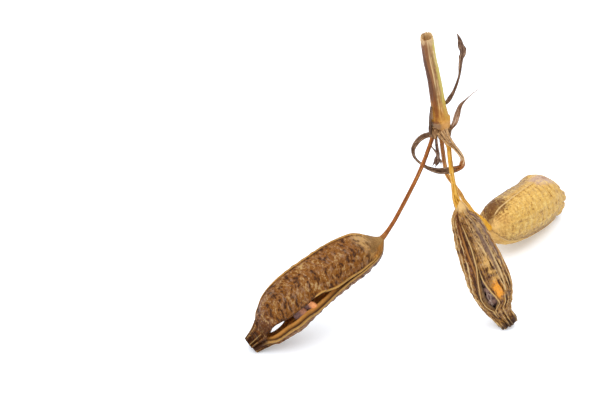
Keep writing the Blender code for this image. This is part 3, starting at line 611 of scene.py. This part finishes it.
class Pod:
    """A three-valved capsule on a bent axis. Angles run round it from the side that faces front."""

    def __init__(self, shape):
        self.__dict__.update(shape)
        self.base = np.array(self.base)
        self.tip = np.array(self.tip)
        self.length = float(np.linalg.norm(self.tip - self.base))
        self.rise = unit(np.cross(unit(self.tip - self.base), FRONT))

    def centre(self, u):
        u = np.asarray(u, float)[..., None]
        return self.base + (self.tip - self.base) * u + self.rise * curve(self.bow, u)

    def frame(self, u):
        u = np.asarray(u, float)
        along = unit(self.centre(np.minimum(u + 0.04, 1)) - self.centre(np.maximum(u - 0.04, 0)))
        side = unit(np.cross(along, FRONT))
        return np.cross(side, along), side, along

    def place(self, u, turn, radius):
        front, side, _ = self.frame(u)
        return (self.centre(u) + (radius * np.cos(turn))[..., None] * front
                + (radius * np.sin(turn))[..., None] * side)

    def slit(self, k, u):
        if self.slits is None:
            return np.zeros_like(u)
        inside = (u > self.slits[k][0][0]) & (u < self.slits[k][-1][0])
        return np.where(inside, curve(self.slits[k], u), 0.0)

    def turn(self, k, u, t):
        """Radians of the place t across valve k, which lies between sutures k and k + 1."""
        after = (k + 1) % VALVES
        start = self.sutures[k] + curve(self.drift, u) - self.slit(k, u) * (1 - self.lean[k])
        last = self.sutures[after] - (360 if after == 0 else 0)
        end = last + curve(self.drift, u) + self.slit(after, u) * self.lean[after]
        return np.radians(start + (end - start) * t)

    def size(self, k, u, t):
        """The outline with its uneven growth: broad places that are fuller or flatter."""
        total = 0.0
        for place, turn, reach, spread, height in self.swellings:
            away = (np.degrees(self.turn(k, u, t)) - turn + 180) % 360 - 180
            total = total + height * bell(u, place, reach) * bell(away, 0, spread)
        return curve(self.outline, u) + total * ramp(u, 0.0, 0.06)

    def margins(self, k, u, t):
        """Distance in mm over the wall to the nearer margin of the valve, and its whole width."""
        width = (self.turn(k, u, 0.0 * u) - self.turn(k, u, 0.0 * u + 1)) * curve(self.outline, u)
        return np.minimum(t, 1 - t) * width, width

    def outer(self, k, u, t):
        """Radius, and the values that the finish reads, of the outer wall."""
        size = self.size(k, u, t)
        gap, _ = self.margins(k, u, t)
        near = np.minimum(t, 1 - t)
        ends = ramp(u, 0.03, 0.12) * ramp(1 - u, 0.02, 0.14)
        body = ramp(size, 2.0, 5.0)
        pinch = self.groove * ramp(u, 0.82, 1.02)
        pinch = pinch * bell(near, 0, 0.06) + 0.5 * pinch * bell(t, 0.5, 0.04)
        after = (k + 1) % VALVES
        here = t < 0.5  # nearer to suture k than to the next one
        open_here = np.where(here, self.slit(k, u), self.slit(after, u))
        wide = np.where(here, curve(self.lips[k][1], u), curve(self.lips[after][0], u))
        dark = np.where(here, self.furrows[1], self.furrows[0])
        curl = 0.3 * np.clip(open_here / 30, 0, 1) * bell(gap, 0, 0.9 * wide)
        rim = bell(gap, self.lip_place * wide, 0.5 * wide)
        furrow = bell(gap, 1.15 * wide + 0.15, 0.16 + 0.1 * wide)
        cleft = bell(gap, 0, 0.16) * np.where(here, self.cleft[k], self.cleft[after])
        lip = self.lip * (0.4 + 0.6 * wide) * (
            rim - 0.7 * furrow * dark - 0.8 * cleft * (open_here < 1)) * body
        long_folds = 0
        for places, height, w in self.ridges:
            away = (t - curve(places, u)) / w
            fold = bell(away, 0, 1) - 0.4 * bell(away, 1.9, 0.8) - 0.4 * bell(away, -1.9, 0.8)
            long_folds = long_folds + height * fold * (0.8 + 0.2 * np.cos(40 * u + 30 * w + 5 * k))
        long_folds = long_folds * ends
        tips = np.cos(2 * math.pi * t * BEAK_FOLDS) * self.tip_folds * ramp(u, 0.76, 0.92)
        fine = 0.5 * np.cos(2 * math.pi * t * FINE_BEAK_FOLDS + 1)
        tips = tips - fine * self.tip_folds * ramp(u, 0.8, 0.95)
        base = ramp(0.22 - u, 0, 0.15) * ramp(u, 0, 0.03)
        away = (np.degrees(self.turn(k, u, t)) + 75 + 180) % 360
        base = base * self.base_folds * bell(away, 180, 55)
        tips = tips + base * np.cos(
            2 * math.pi * (t * BASE_FOLDS + 0.5 * np.sin(9 * t + k) + 0.8 * u))
        tips = tips * bell(near, 0.3, 0.22)
        half = np.where(t > 0.5, math.pi, 0.0) + math.pi * (k % 2)
        wave = np.cos(2 * math.pi * u * self.length / self.pitch + half)
        seeds = self.bumps * wave * bell(near, 0.28, 0.12) * ends
        radius = size * (1 - pinch) + lip + curl + long_folds + seeds + tips
        values = dict(
            rim=rim * body * ramp(wide, 0.3, 0.5),
            # read by the finish to darken the groove and the shut suture's line: painted shade
            furrow=np.maximum(furrow * ramp(wide, 0.3, 0.5) * dark, cleft) * body,
            firm=(1 - bell(gap, 0.4 * wide, 0.8 * wide) * body) * ends,
            ribs=(long_folds + tips) / 0.3 - 2.5 * pinch,
            bulge=wave * bell(near, 0.28, 0.16) * ends,
            inside=0 * u,
        )
        return radius, values

    def inner(self, k, u, t):
        gap, _ = self.margins(k, u, t)
        septum = 0.42 * bell(t, 0.5, 0.05) * ramp(u, 0.12, 0.3) * ramp(1 - u, 0.1, 0.25)
        radius = curve(self.hollow, u) * (1 - septum) - 0.35 * bell(gap, 0, 0.8)
        values = dict(rim=bell(gap, 0, 0.9), furrow=0 * u, firm=0 * u + 0.12, ribs=0 * u,
                      bulge=0 * u, inside=0 * u + 1)
        return radius, values

    def grain(self, k, u, t):
        """The wall laid out flat enough for a pattern: along the pod, and a place round it."""
        _, width = self.margins(k, u, t)
        turn = self.turn(k, u, t)
        size = curve(self.outline, u)
        away = np.abs(t - 0.5) * width
        return np.stack([u * self.length - self.slant * away, size * np.cos(turn),
                         size * np.sin(turn)], axis=-1)


class Shell:
    """Collects the points, values and faces of a pod's wall."""

    def __init__(self, pod):
        self.pod = pod
        self.places, self.faces, self.values = [], [], {}
        self.count = 0

    def take(self, places, values):
        start = self.count
        self.places.append(places)
        for name, numbers in values.items():
            self.values.setdefault(name, []).append(numbers)
        self.count += len(places)
        return start

    def layer(self, rows, columns, form):
        """One wall: three valves. Returns the points' numbers, valve by valve."""
        pod = self.pod
        grids = []
        for k in range(VALVES):
            u, t = np.meshgrid(rows, columns, indexing="ij")
            radius, values = form(k, u, t)
            places = pod.place(u, pod.turn(k, u, t), radius)
            values["grain"] = pod.grain(k, u, t)
            values["reach"] = u
            values["turn"] = np.degrees(pod.turn(k, u, t))
            flat = {n: v.reshape(-1, 3) if v.ndim == 3 else v.ravel() for n, v in values.items()}
            start = self.take(places.reshape(-1, 3), flat)
            grids.append(start + np.arange(u.size).reshape(u.shape))
        shut = [pod.slit(k, rows) == 0 for k in range(VALVES)]
        for k in range(VALVES):
            grids[k][shut[k], 0] = grids[(k - 1) % VALVES][shut[k], -1]
        for grid in grids:
            self.skin(grid, form == pod.inner)
        return grids

    def skin(self, grid, inward):
        corners = (grid[:-1, :-1], grid[:-1, 1:], grid[1:, 1:], grid[1:, :-1])
        quads = np.stack([c.ravel() for c in corners], axis=-1)
        self.faces.extend((quads[:, ::-1] if inward else quads).tolist())

    def cap(self, grids, row, u):
        """Closes an end with a sunken point."""
        loop = np.concatenate([g[row, :-1] for g in grids])
        values = {n: v[-1][-1:] for n, v in self.values.items()}
        middle = self.take(self.pod.centre(np.array([u])), values)
        self.faces.extend((middle, int(b), int(a)) for a, b in zip(loop, np.roll(loop, -1)))

    def margins(self, outer, inner, rows, first):
        """The thickness of the wall along both margins of each slit."""
        for k in range(VALVES):
            shut = self.pod.slit(k, rows) == 0
            for i in np.flatnonzero(~(shut[:-1] & shut[1:])):
                for near, valve in ((0, k), (-1, (k - 1) % VALVES)):
                    a, b = outer[valve][first + i:first + i + 2, near]
                    c, d = inner[valve][i:i + 2, near]
                    self.faces.append((int(a), int(b), int(d), int(c)))

    def mesh(self):
        """The wall as a mesh, without the doubles that shut sutures leave behind."""
        places = to_frame(np.concatenate(self.places))
        values = {n: np.concatenate(v) for n, v in self.values.items()}
        used = np.unique(np.concatenate([np.ravel(f) for f in self.faces]))
        number = np.zeros(len(places), int)
        number[used] = np.arange(len(used))
        faces = [tuple(number[list(f)].tolist()) for f in self.faces]
        return carrier(places[used], (), faces, **{n: v[used] for n, v in values.items()})


def pod_mesh(shape):
    pod = Pod(shape)
    rows = np.linspace(0, 1, round(pod.length / ROW_STEP))
    across = np.linspace(0, 1, COLUMNS)
    shell = Shell(pod)
    outer = shell.layer(rows, across, pod.outer)
    shell.cap(outer, 0, 0.0)
    shell.cap(outer, -1, BEAK_SINK)
    if pod.hollow:
        span = (rows >= pod.hollow[0][0]) & (rows <= pod.hollow[-1][0])
        inner = shell.layer(rows[span], across[::2], pod.inner)
        shell.cap(inner, 0, rows[span][0])
        shell.cap(inner, -1, rows[span][-1])
        shell.margins(outer, inner, rows[span], int(np.argmax(span)))
    return shell.mesh()


def strand(points, material, wide, thick=None, roll=((0, 0), (1, 0)), count=60, **sizes):
    """A strand on a path. wide, thick and roll are stations along it."""
    places, tangents = along_path(points, count)
    u = np.linspace(0, 1, count)
    across = unit(np.cross(tangents, FRONT))
    return framed_strand(places, tangents, across, u, material, curve(wide, u),
                         curve(thick or wide, u), np.radians(curve(roll, u)), None, sizes)


def framed_strand(places, tangents, across, u, material, wide, thick, roll, frayed, sizes):
    """A strand whose directions, widths and turns are given at each of its points."""
    out = np.cross(across, tangents)
    one = np.cos(roll)[:, None] * across + np.sin(roll)[:, None] * out
    two = np.cos(roll)[:, None] * out - np.sin(roll)[:, None] * across
    steps = np.linalg.norm(np.diff(places, axis=0), axis=1)
    length = np.concatenate([[0], np.cumsum(steps)])
    line = carrier(places + TO_FRAME, [(i, i + 1) for i in range(len(u) - 1)], along=length,
                   across=one, out=two, tangent=tangents, wide=wide, thick=thick, share=u,
                   frayed=0 * u if frayed is None else frayed)
    return grown(line, STRAND_TREE, Material=material, **sizes)


# ---------------------------------------------------------------- finishes

def srgb(red, green, blue):
    """A colour as a screen shows it, from 0 to 255, in linear light."""
    linear = [((c / 255 + 0.055) / 1.055) ** 2.4 if c > 10 else c / 255 / 12.92
              for c in (red, green, blue)]
    return (*linear, 1.0)


class Finish(Build):
    """A material with a rough, slightly grained skin."""

    def __init__(self, name, roughness):
        self.material = bpy.data.materials.new(name)
        self.material.use_nodes = True
        super().__init__(self.material.node_tree)
        self.shader = self.tree.nodes["Principled BSDF"]
        self.shader.inputs["Specular IOR Level"].default_value = SPECULAR
        self.roughness = roughness

    def value(self, name):
        return self.add("ShaderNodeAttribute", out=2, attribute_name=name)

    def grain(self):
        return self.add("ShaderNodeAttribute", out=1, attribute_name="grain")

    def mix(self, share, one, two):
        """Each colour is a field, three numbers as a screen shows it, or four in linear light."""
        one, two = (srgb(*c) if isinstance(c, tuple) and len(c) == 3 else c for c in (one, two))
        return self.add("ShaderNodeMix", share, one, two, data_type="RGBA")

    def marked(self, colour, marks, first, second, edge):
        """Lays ovals of colour over two values: place in both, reach in both, colour, amount."""
        for x, y, x_reach, y_reach, shade, amount in marks:
            x, y = (first - x) * (1 / x_reach), (second - y) * (1 / y_reach)
            share = self.step(x * x + y * y + edge, 1.5, 0.1) * amount
            colour = self.mix(share, colour, shade)
        return colour

    def end(self, colour, relief, depth, gloss):
        """gloss lightens or darkens the roughness a little, where the skin is smooth."""
        self.give(self.shader.inputs["Base Color"], colour)
        rough = self.step(gloss, 0.0, 1.0) * -0.2 + self.roughness
        self.give(self.shader.inputs["Roughness"], rough)
        bump = self.add("ShaderNodeBump", 1.0, depth * MM, None, relief)
        self.give(self.shader.inputs["Normal"], bump)
        return self.material


def husk(name, hollow, wall, ridge, bloom, rim, dark, inner, neck, marks, stains_and_shade, painted_fold_shade, lines,
         flecks, fleck_size, low, bloom_share, bloom_size, folds, smooth):
    """The dried wall of a pod: darker in its hollows and lighter on its folds, partly random
    mottling and partly painted shade and painted highlight that follow the relief; tan along its
    rims.
    """
    make = Finish(name, HUSK_ROUGHNESS)
    grain = make.grain()
    height, reach, turn = (make.value(n) for n in ("height", "reach", "turn"))
    blotch = make.noise(grain, 0.3, 2.0, 0.6) - 0.5
    fleck = make.noise(make.stretched(grain, *fleck_size), 1.0, 3.0, 0.7) - 0.5
    band = make.noise(make.stretched(grain, 1.5, 4.0), 1.0, 2.0) - 0.5
    line = make.noise(make.stretched(grain, 5.0, 0.32), 1.0, 3.0, 0.6) - 0.5
    ribs = make.value("ribs") * folds
    # the fold height darkens the hollows and lightens the folds (painted shade and painted
    # highlight); the noises are random mottling
    level = (height * painted_fold_shade + blotch * 0.9 + band * 1.1 + fleck * flecks + line * lines
             + ribs * 0.3 + make.value("bulge") * 0.1)
    ends = make.step(reach + line * 0.14 + fleck * 0.12 + blotch * 0.1, smooth, 0.0)
    wall = make.mix(ends * make.step(line, -0.35, 0.1), wall, neck)
    wall = make.marked(wall, marks, reach, turn, line * 1.6 + fleck * 2.4)
    firm = make.math("MAXIMUM", make.step(level, low, low + 0.6), ends * 0.6)
    colour = make.mix(firm, hollow, wall)
    colour = make.mix(make.step(level, low + 0.7, low + 1.2), colour, ridge)
    veil = make.stretched(make.vector("ADD", grain, (40.0, 7.0, 3.0)), *bloom_size)
    veil = make.noise(veil, 1.0, 4.0, 0.7) - 0.5
    colour = make.mix(make.step(veil * 2.5 + height * 0.4, 0.1, 0.7) * bloom_share, colour, bloom)
    # lighter on the raised ribs and darker between them, broken by streaks and flecks: painted
    # highlight and painted shade
    colour = make.mix(make.step(ribs + line * 1.6 + fleck, 0.3, 0.9) * 0.9, colour, ridge)
    colour = make.mix(make.step(ribs + line + fleck, -0.3, -1.0) * 0.85, colour, dark)
    # stains, and on the golden pod painted shade under it, on its back and round its base
    colour = make.marked(colour, stains_and_shade, reach, turn, line * 1.6 + fleck * 2.4)
    # tan along the lips; on the dark husk this colour is partly painted light
    colour = make.mix(make.step(make.value("rim"), 0.35, 0.85) * make.step(line, -0.4, 0.05),
                      colour, rim)
    # the groove outside each lip and the line of a shut suture are darkened: painted shade
    colour = make.mix(make.step(make.value("furrow"), 0.3, 0.95) * 0.85, colour, dark)
    # the inside wall takes the inner colour; on the dark husk it is painted light, far paler than
    # its own colour
    inside = make.value("inside")
    shade = make.mix(make.step(line + blotch, -0.3, 0.3), inner, rim)
    colour = make.mix(inside, colour, make.mix(0.25, inner, shade))
    relief = fleck * 0.6 + line * 0.5 + make.noise(grain, 5.0, 2.0) * 0.4
    return make.end(colour, relief, HUSK_RELIEF, height + 0.4)


def fibre(name, colours, streak_length=6.0, streak_width=0.3, side_colours=(), ends=(), marks=(),
          roughness=0.6):
    """Stalks, stem and leaves: streaked along their length, from dark to light."""
    make = Finish(name, roughness)
    grain = make.grain()
    streak = make.noise(make.stretched(grain, streak_length, streak_width), 1.0, 3.0, 0.6) - 0.5
    spot = make.noise(grain, 0.7, 3.0, 0.6) - 0.5
    # the relief height lightens the ridges and darkens the creases: painted highlight and painted
    # shade over the streaks
    level = streak * 2.0 + spot * 0.7 + make.value("height") * 1.5
    dark, middle, light = colours
    colour = make.mix(make.step(level, -0.35, 0.05), dark, middle)
    colour = make.mix(make.step(level, 0.05, 0.4), colour, light)
    side = make.value("side") + spot * 0.5 + streak * 1.2
    for start, end, shade in side_colours:
        colour = make.mix(make.step(side, start, end), colour, shade)
    share = make.value("share") + spot * 0.06
    for start, end, shade, amount in ends:
        colour = make.mix(make.step(share, start, end) * amount, colour, shade)
    colour = make.marked(colour, marks, share, make.value("side"), streak * 1.5 + spot)
    relief = streak + make.noise(grain, 4.0, 2.0) * 0.3
    return make.end(colour, relief, FIBRE_RELIEF, level + 0.5)


# ---------------------------------------------------------------- the pieces

def add_pods():
    for name, shape, (finish, look), dried, node, slot in (
            ("left_pod_wall", LEFT_POD, ("dark husk", DARK_HUSK),
             dict(Fold_depth=0.18, Fold_pitch=1.3, Fold_length=2.6, Crease_depth=0.06, Seed=1.0),
             "pod_left", "dark_pod"),
            ("middle_pod_wall", MIDDLE_POD, ("grey husk", GREY_HUSK),
             dict(Fold_depth=0.08, Fold_pitch=1.2, Fold_length=1.6, Crease_depth=0.16,
                  Crease_pitch=0.5, Seed=2.0),
             "pod_middle", "grey_pod"),
            ("right_pod_wall", RIGHT_POD, ("golden husk", GOLDEN_HUSK),
             dict(Fold_depth=0.14, Fold_pitch=1.5, Fold_length=3.0, Crease_depth=0.06, Seed=3.0),
             "pod_right", "golden_pod")):
        wall = grown(pod_mesh(shape), WALL_TREE, Material=husk(finish, **look), **dried)
        piece(name, [wall], node, POD_SHARP)
    # the left seeds' colours are lighter than their own, to stand in for the light the pod keeps
    # from them: painted light
    add_seeds("left_seeds", LEFT_POD, LEFT_SEEDS, 4.2, "seeds_left",
              ((136, 102, 96), (244, 166, 108)))
    add_seeds("middle_seeds", MIDDLE_POD, MIDDLE_SEEDS, 3.6, "seeds_middle",
              ((108, 82, 78), (156, 124, 110)), THREADS)


def seed_coat(name, body, end):
    make = Finish(name, SEED_ROUGHNESS)
    outer = make.value("outer")
    here = make.add("ShaderNodeTexCoord", out=3)
    mottle = make.noise(here, 900.0, 3.0, 0.6)
    # paler on the edge that faces out of the pod: partly the seed's own tint, partly painted
    # highlight
    pale_end_share = make.step(outer + mottle * 0.5, 0.15, 0.6) * make.value("pale")
    colour = make.mix(make.step(mottle, 0.3, 0.7) * 0.4, body, (70, 50, 48))
    return make.end(make.mix(pale_end_share, colour, end), mottle, SEED_RELIEF, mottle)


def add_seeds(name, shape, seeds, size, node, coat_colours, threads=()):
    """A pod's seeds, the strand up its middle that carries them, and threads of torn skin."""
    pod = Pod(shape)
    coat = seed_coat("seed coat " + name, *coat_colours)
    u, turn, distance, loose, facing, pale = np.array(seeds, float).T
    turn, loose = np.radians(turn), np.radians(loose)[:, None]
    outward = unit(pod.place(u, turn + np.radians(facing), distance) - pod.centre(u))
    _, _, along = pod.frame(u)
    points = carrier(to_frame(pod.place(u, turn, distance)), size=np.full(len(u), size), pale=pale,
                     stack=along * np.cos(loose) + outward * np.sin(loose),
                     outward=outward * np.cos(loose) - along * np.sin(loose))
    cord = fibre("seed cord " + name, ((70, 50, 40), (120, 90, 64), (176, 146, 112)))
    skin = fibre("torn skin " + name, ((150, 124, 112), (190, 170, 156), (216, 202, 190)))
    path = pod.centre(np.linspace(pod.hollow[0][0] + 0.02, pod.hollow[-1][0] - 0.03, 9))
    meshes = [strand(path, cord, ((0, 0.7), (1, 0.6)), Crease_depth=0.1, Sides=16)]
    for thread in threads:
        u, turn, distance = np.array(thread, float).T
        meshes.append(strand(pod.place(u, np.radians(turn), distance), skin,
                             ((0, 0.1), (0.5, 0.17), (1, 0.08)), Crease_depth=0.08, Sides=10))
    piece(name, [grown(points, SEED_TREE, Material=coat)] + meshes, node)


def add_stalks():
    for side, path, colours, ends, wide, hue in (
            ("left", LEFT_STALK, ((86, 44, 16), (140, 78, 28), (176, 116, 58)),
             ((0.85, 1.0, (166, 112, 56), 0.6),),
             ((0, 0.8), (0.12, 0.56), (0.85, 0.58), (1, 1.0)), "brown"),
            ("middle", MIDDLE_STALK, ((140, 88, 22), (206, 150, 46), (228, 188, 104)),
             ((0.3, 0.1, (150, 96, 40), 0.6),),
             ((0, 0.8), (0.12, 0.66), (0.6, 0.64), (0.8, 0.88), (1, 1.3)), "yellow"),
            ("right", RIGHT_STALK, ((132, 74, 20), (206, 142, 36), (226, 178, 84)),
             ((0.4, 0.2, (140, 78, 30), 0.8), (0.5, 0.7, (222, 162, 38), 0.7)),
             ((0, 0.8), (0.12, 0.6), (0.85, 0.6), (1, 1.1)), "orange")):
        look = fibre(hue + " stalk", colours, ends=ends, roughness=0.5)
        mesh = strand(path, look, wide, count=90, Ridges=7, Ridge_depth=0.06, Crease_depth=0.07,
                      Crease_width=0.3)
        piece(side + "_stalk", [mesh], "stalk_" + side)


def add_stem():
    """The path runs up the hollow, over the ragged rim and down the outside to the knot."""
    straw = fibre("straw stem", ((104, 70, 40), (172, 132, 80), (218, 190, 136)), streak_length=9.0,
                  side_colours=((0.1, 0.8, (120, 74, 40)), (-0.4, -0.8, (196, 178, 88))),
                  ends=((0.62, 0.86, (190, 130, 46), 0.75), (0.15, 0.12, (238, 208, 158), 0.95)),
                  marks=STEM_MARKS)
    places, tangents = along_path(STEM_PATH, STEM_ROWS)
    u = np.linspace(0, 1, STEM_ROWS)
    deep = u <= BORE_DEPTH / STEM_LENGTH
    order = np.concatenate([np.flatnonzero(deep)[::-1], np.arange(len(u))])
    inside = np.arange(len(order)) < deep.sum()
    radius = np.where(inside, BORE_RADIUS, curve(STEM_OUTLINE, u[order]))
    from_top = u[order] * STEM_LENGTH
    radius = radius - np.where(inside, -0.25, 0.12) * bell(from_top, 0.0, 0.5)
    across = unit(np.cross(tangents, FRONT))[order]
    share = np.linspace(0, 1, len(order))
    mesh = framed_strand(places[order], tangents[order], across, share, straw, radius, radius,
                         0 * share, bell(from_top, 0, 1.5),
                         dict(Sides=72, Ridges=13, Ridge_depth=0.04, Crease_depth=0.1,
                              Crease_length=7.0, Crease_width=0.5, Ragged=2.2, Seed=2.0))
    ragged = fibre("ragged collar", ((54, 30, 14), (112, 76, 42), (190, 150, 104)),
                   streak_length=2.0, streak_width=0.25, roughness=0.7)
    scales = [leaf_base(number, ragged) for number in range(COLLAR_SCALES)]
    piece("cut_stem", [mesh] + scales, "stem")


def leaf_base(number, look):
    """One ragged scale of the collar round the knot, left by a fallen leaf."""
    turn = 2 * math.pi * (number + 0.3 * math.sin(5.0 * number)) / COLLAR_SCALES
    drop = 1.1 * math.sin(7.0 * number)
    lift = 1.2 * max(-math.cos(turn), 0)
    path = [COLLAR_CENTRE + (r * math.cos(turn), r * math.sin(turn), z) for r, z in
            ((2.6, 61.4 + lift), (2.95, 60.6 + lift / 2), (2.9, 59.6), (2.75, 58.5),
             (2.6, 57.4 + drop))]
    flat = 90 + math.degrees(turn)
    return strand(path, look, ((0, 0.35), (0.3, 0.8), (0.8, 0.6), (1, 0.12)),
                  ((0, 0.3), (0.5, 0.35), (1, 0.12)), ((0, flat), (1, flat)), 30,
                  Crease_depth=0.15, Crease_width=0.4, Sides=16, Seed=number + 1.0)


def fan(points, material, strands, spread, wide, **sizes):
    """Narrow strands side by side on one path. spread is how far the outer ones stray from it."""
    places, tangents = along_path(points, FAN_ROWS)
    u = np.linspace(0, 1, FAN_ROWS)
    across = unit(np.cross(tangents, FRONT))
    out = np.cross(across, tangents)
    meshes = []
    for i in range(strands):
        stray = (2 * i / (strands - 1) - 1) * curve(spread, u) + 0.12 * np.sin(8 * u + 2.1 * i)
        lift = 0.25 * math.cos(2.4 * i) + 0.1 * np.sin(7 * u + i)
        line = places + stray[:, None] * across + lift[:, None] * out
        width = curve(wide, u) * (1 + 0.3 * np.sin(3 * u + 1.7 * i))
        meshes.append(framed_strand(line, tangents, across, u, material, width, 0.6 * width,
                                    0.8 * np.sin(4 * u + i), None, dict(sizes, Seed=i + 1.0)))
    return meshes


def add_leaves():
    dry = dict(streak_width=0.25, roughness=0.7)
    grey = fibre("withered leaf", ((62, 42, 32), (118, 88, 70), (182, 156, 134)), **dry)
    tan = fibre("tan leaf", ((66, 42, 28), (130, 96, 72), (198, 170, 146)), **dry)
    brown = fibre("dark leaf", ((44, 28, 18), (84, 58, 40), (136, 106, 82)), **dry)
    straw = fibre("straw leaf", ((92, 56, 28), (184, 144, 98), (226, 194, 150)), streak_width=0.22)
    ring = fibre("looped leaf", ((54, 32, 20), (108, 78, 54), (196, 168, 142)),
                 streak_length=3.0, streak_width=0.2,
                 marks=((0.08, 0, 0.13, 9, (150, 84, 24), 1.0),))
    leaf = dict(Sides=28, Ridges=0, Crease_depth=0.12, Crease_length=3.0, Crease_width=0.35)

    blade = LOOP_PATH[4:]
    loop = strand(blade, ring,
                  ((0, 0.6), (0.08, 0.95), (0.2, 1.1), (0.32, 0.95), (0.45, 0.65), (0.6, 0.4),
                   (0.72, 0.65), (0.86, 0.95), (1, 0.7)),
                  ((0, 0.28), (1, 0.22)),
                  ((0, 20), (0.12, 60), (0.3, 15), (0.5, 40), (0.7, 0), (0.85, 30), (1, 10)),
                  160, Cup=0.35, Seed=4.0, **leaf)
    veins = fan(blade, ring, 3,
                ((0, 0.2), (0.1, 0.35), (0.22, 0.7), (0.32, 0.6), (0.45, 0.3), (0.62, 0.05),
                 (0.75, 0.35), (1, 0.4)),
                ((0, 0.22), (0.5, 0.18), (1, 0.2)), Crease_depth=0.1, Sides=12)
    straws = fan(LOOP_PATH[:6], straw, 4,
                 ((0, 1.3), (0.2, 0.85), (0.42, 0.38), (0.7, 0.36), (0.85, 0.36), (1, 0.35)),
                 ((0, 0.34), (0.3, 0.34), (0.6, 0.26), (0.9, 0.24), (1, 0.1)),
                 Crease_depth=0.12, Sides=14)
    piece("looped_leaf", [loop] + veins + straws, "bract_loop")

    tall = strand(TALL_PATH, grey,
                  ((0, 0.3), (0.12, 0.75), (0.25, 0.5), (0.42, 0.32), (0.55, 0.65), (0.65, 0.8),
                   (0.8, 1.0), (0.9, 0.6), (1, 0.12)),
                  ((0, 0.22), (0.5, 0.18), (1, 0.08)),
                  ((0, 0), (0.2, 50), (0.4, 10), (0.6, 60), (0.72, -20), (0.85, 40), (1, 20)),
                  120, Cup=0.6, Seed=5.0, **leaf)
    edge = fan(TALL_PATH, tan, 3, ((0, 0.15), (0.5, 0.15), (0.7, 0.45), (0.82, 0.5), (1, 0)),
               ((0, 0.14), (0.7, 0.16), (1, 0.06)), Crease_depth=0.08, Sides=10)
    piece("tall_leaf", [tall] + edge, "bract_tall")

    short = strand(SHORT_PATH, tan, ((0, 0.5), (0.3, 0.9), (0.5, 0.65), (0.7, 0.24), (1, 0.06)),
                   ((0, 0.2), (1, 0.06)), ((0, 0), (0.5, 30), (1, 20)), 80, Cup=0.5, Seed=6.0,
                   **leaf)
    piece("short_leaf", [short], "bract_short")

    sheath = strand(SHEATH_PATH, brown, ((0, 0.55), (0.5, 0.55), (1, 0.3)),
                    ((0, 0.3), (1, 0.15)), ((0, 60), (1, 60)), Seed=7.0, **leaf)
    piece("sheath", [sheath], "bract_sheath")

    bud = strand(BUD_PATH, grey, ((0, 0.4), (0.6, 0.42), (0.72, 0.5), (0.85, 0.9), (1, 0.3)),
                 count=80, Seed=8.0, Crease_depth=0.3, Crease_width=0.4)
    tendril = strand(TENDRIL_PATH, grey, ((0, 0.14), (0.5, 0.35), (1, 0.3)), Seed=9.0, Sides=16,
                     Crease_depth=0.1)
    scraps = [strand([(9.3 + side, 21.0, 50.4), (9.3 + 2 * side, 20.7 - near, 49.3),
                      (9.2 + 2.6 * side, 20.8, 47.8 + up)],
                     grey, ((0, 0.2), (0.5, 0.42), (1, 0.12)), ((0, 0.15), (1, 0.1)),
                     ((0, 0), (1, 80)), 40, Cup=0.6, Crease_depth=0.15, Sides=14, Seed=10.0 + up)
              for side, near, up in BUD_SCRAPS]
    piece("withered_bud", [bud, tendril] + scraps, "withered_bud")


# ---------------------------------------------------------------- studio

def add_to_scene(name, data):
    obj = bpy.data.objects.new(name, data)
    bpy.context.scene.collection.objects.link(obj)
    return obj


def add_floor():
    white = Finish("white sweep", 0.9)
    place = white.add("ShaderNodeTexCoord", out=3)
    tone = white.mix(white.noise(place, 3.0), *FLOOR_TONES)
    white.end(tone, white.noise(place, 400.0), 0.01, 0.0)
    white.shader.inputs["Emission Color"].default_value = WHITE
    white.shader.inputs["Emission Strength"].default_value = FLOOR_GLOW
    mesh = bpy.data.meshes.new("floor")
    r = FLOOR_REACH
    mesh.from_pydata([(-r, -r, 0), (r, -r, 0), (r, r, 0), (-r, r, 0)], [], [(0, 1, 2, 3)])
    mesh.materials.append(white.material)
    add_to_scene("floor", mesh)


def add_lights():
    world = bpy.data.worlds.new("studio")
    world.use_nodes = True
    sky = world.node_tree.nodes["Background"].inputs
    sky["Color"].default_value = WHITE
    sky["Strength"].default_value = SKY_STRENGTH
    bpy.context.scene.world = world
    for name, place, size, power in SOFTBOXES:
        light = bpy.data.lights.new(name, "AREA")
        light.size = size
        light.energy = power
        lamp = add_to_scene(name, light)
        lamp.location = place
        lamp.rotation_euler = (-Vector(place)).to_track_quat("-Z", "Y").to_euler()
    bpy.context.scene.view_settings.view_transform = "Standard"


def add_camera():
    lens = bpy.data.cameras.new("camera")
    lens.lens = LENS
    lens.sensor_width = SENSOR_WIDTH
    lens.clip_start = 0.01
    lens.clip_end = 50.0
    camera = add_to_scene("camera", lens)
    camera.location = to_frame(np.array(CAMERA_TARGET) + FRONT * CAMERA_DISTANCE)
    camera.rotation_euler = (math.radians(90) - math.radians(CAMERA_ELEVATION), 0, 0)
    bpy.context.scene.camera = camera


STRAND_TREE, WALL_TREE, SEED_TREE = strand_tree(), wall_tree(), seed_tree()
add_camera()
add_floor()
add_lights()
add_pods()
add_stalks()
add_stem()
add_leaves()
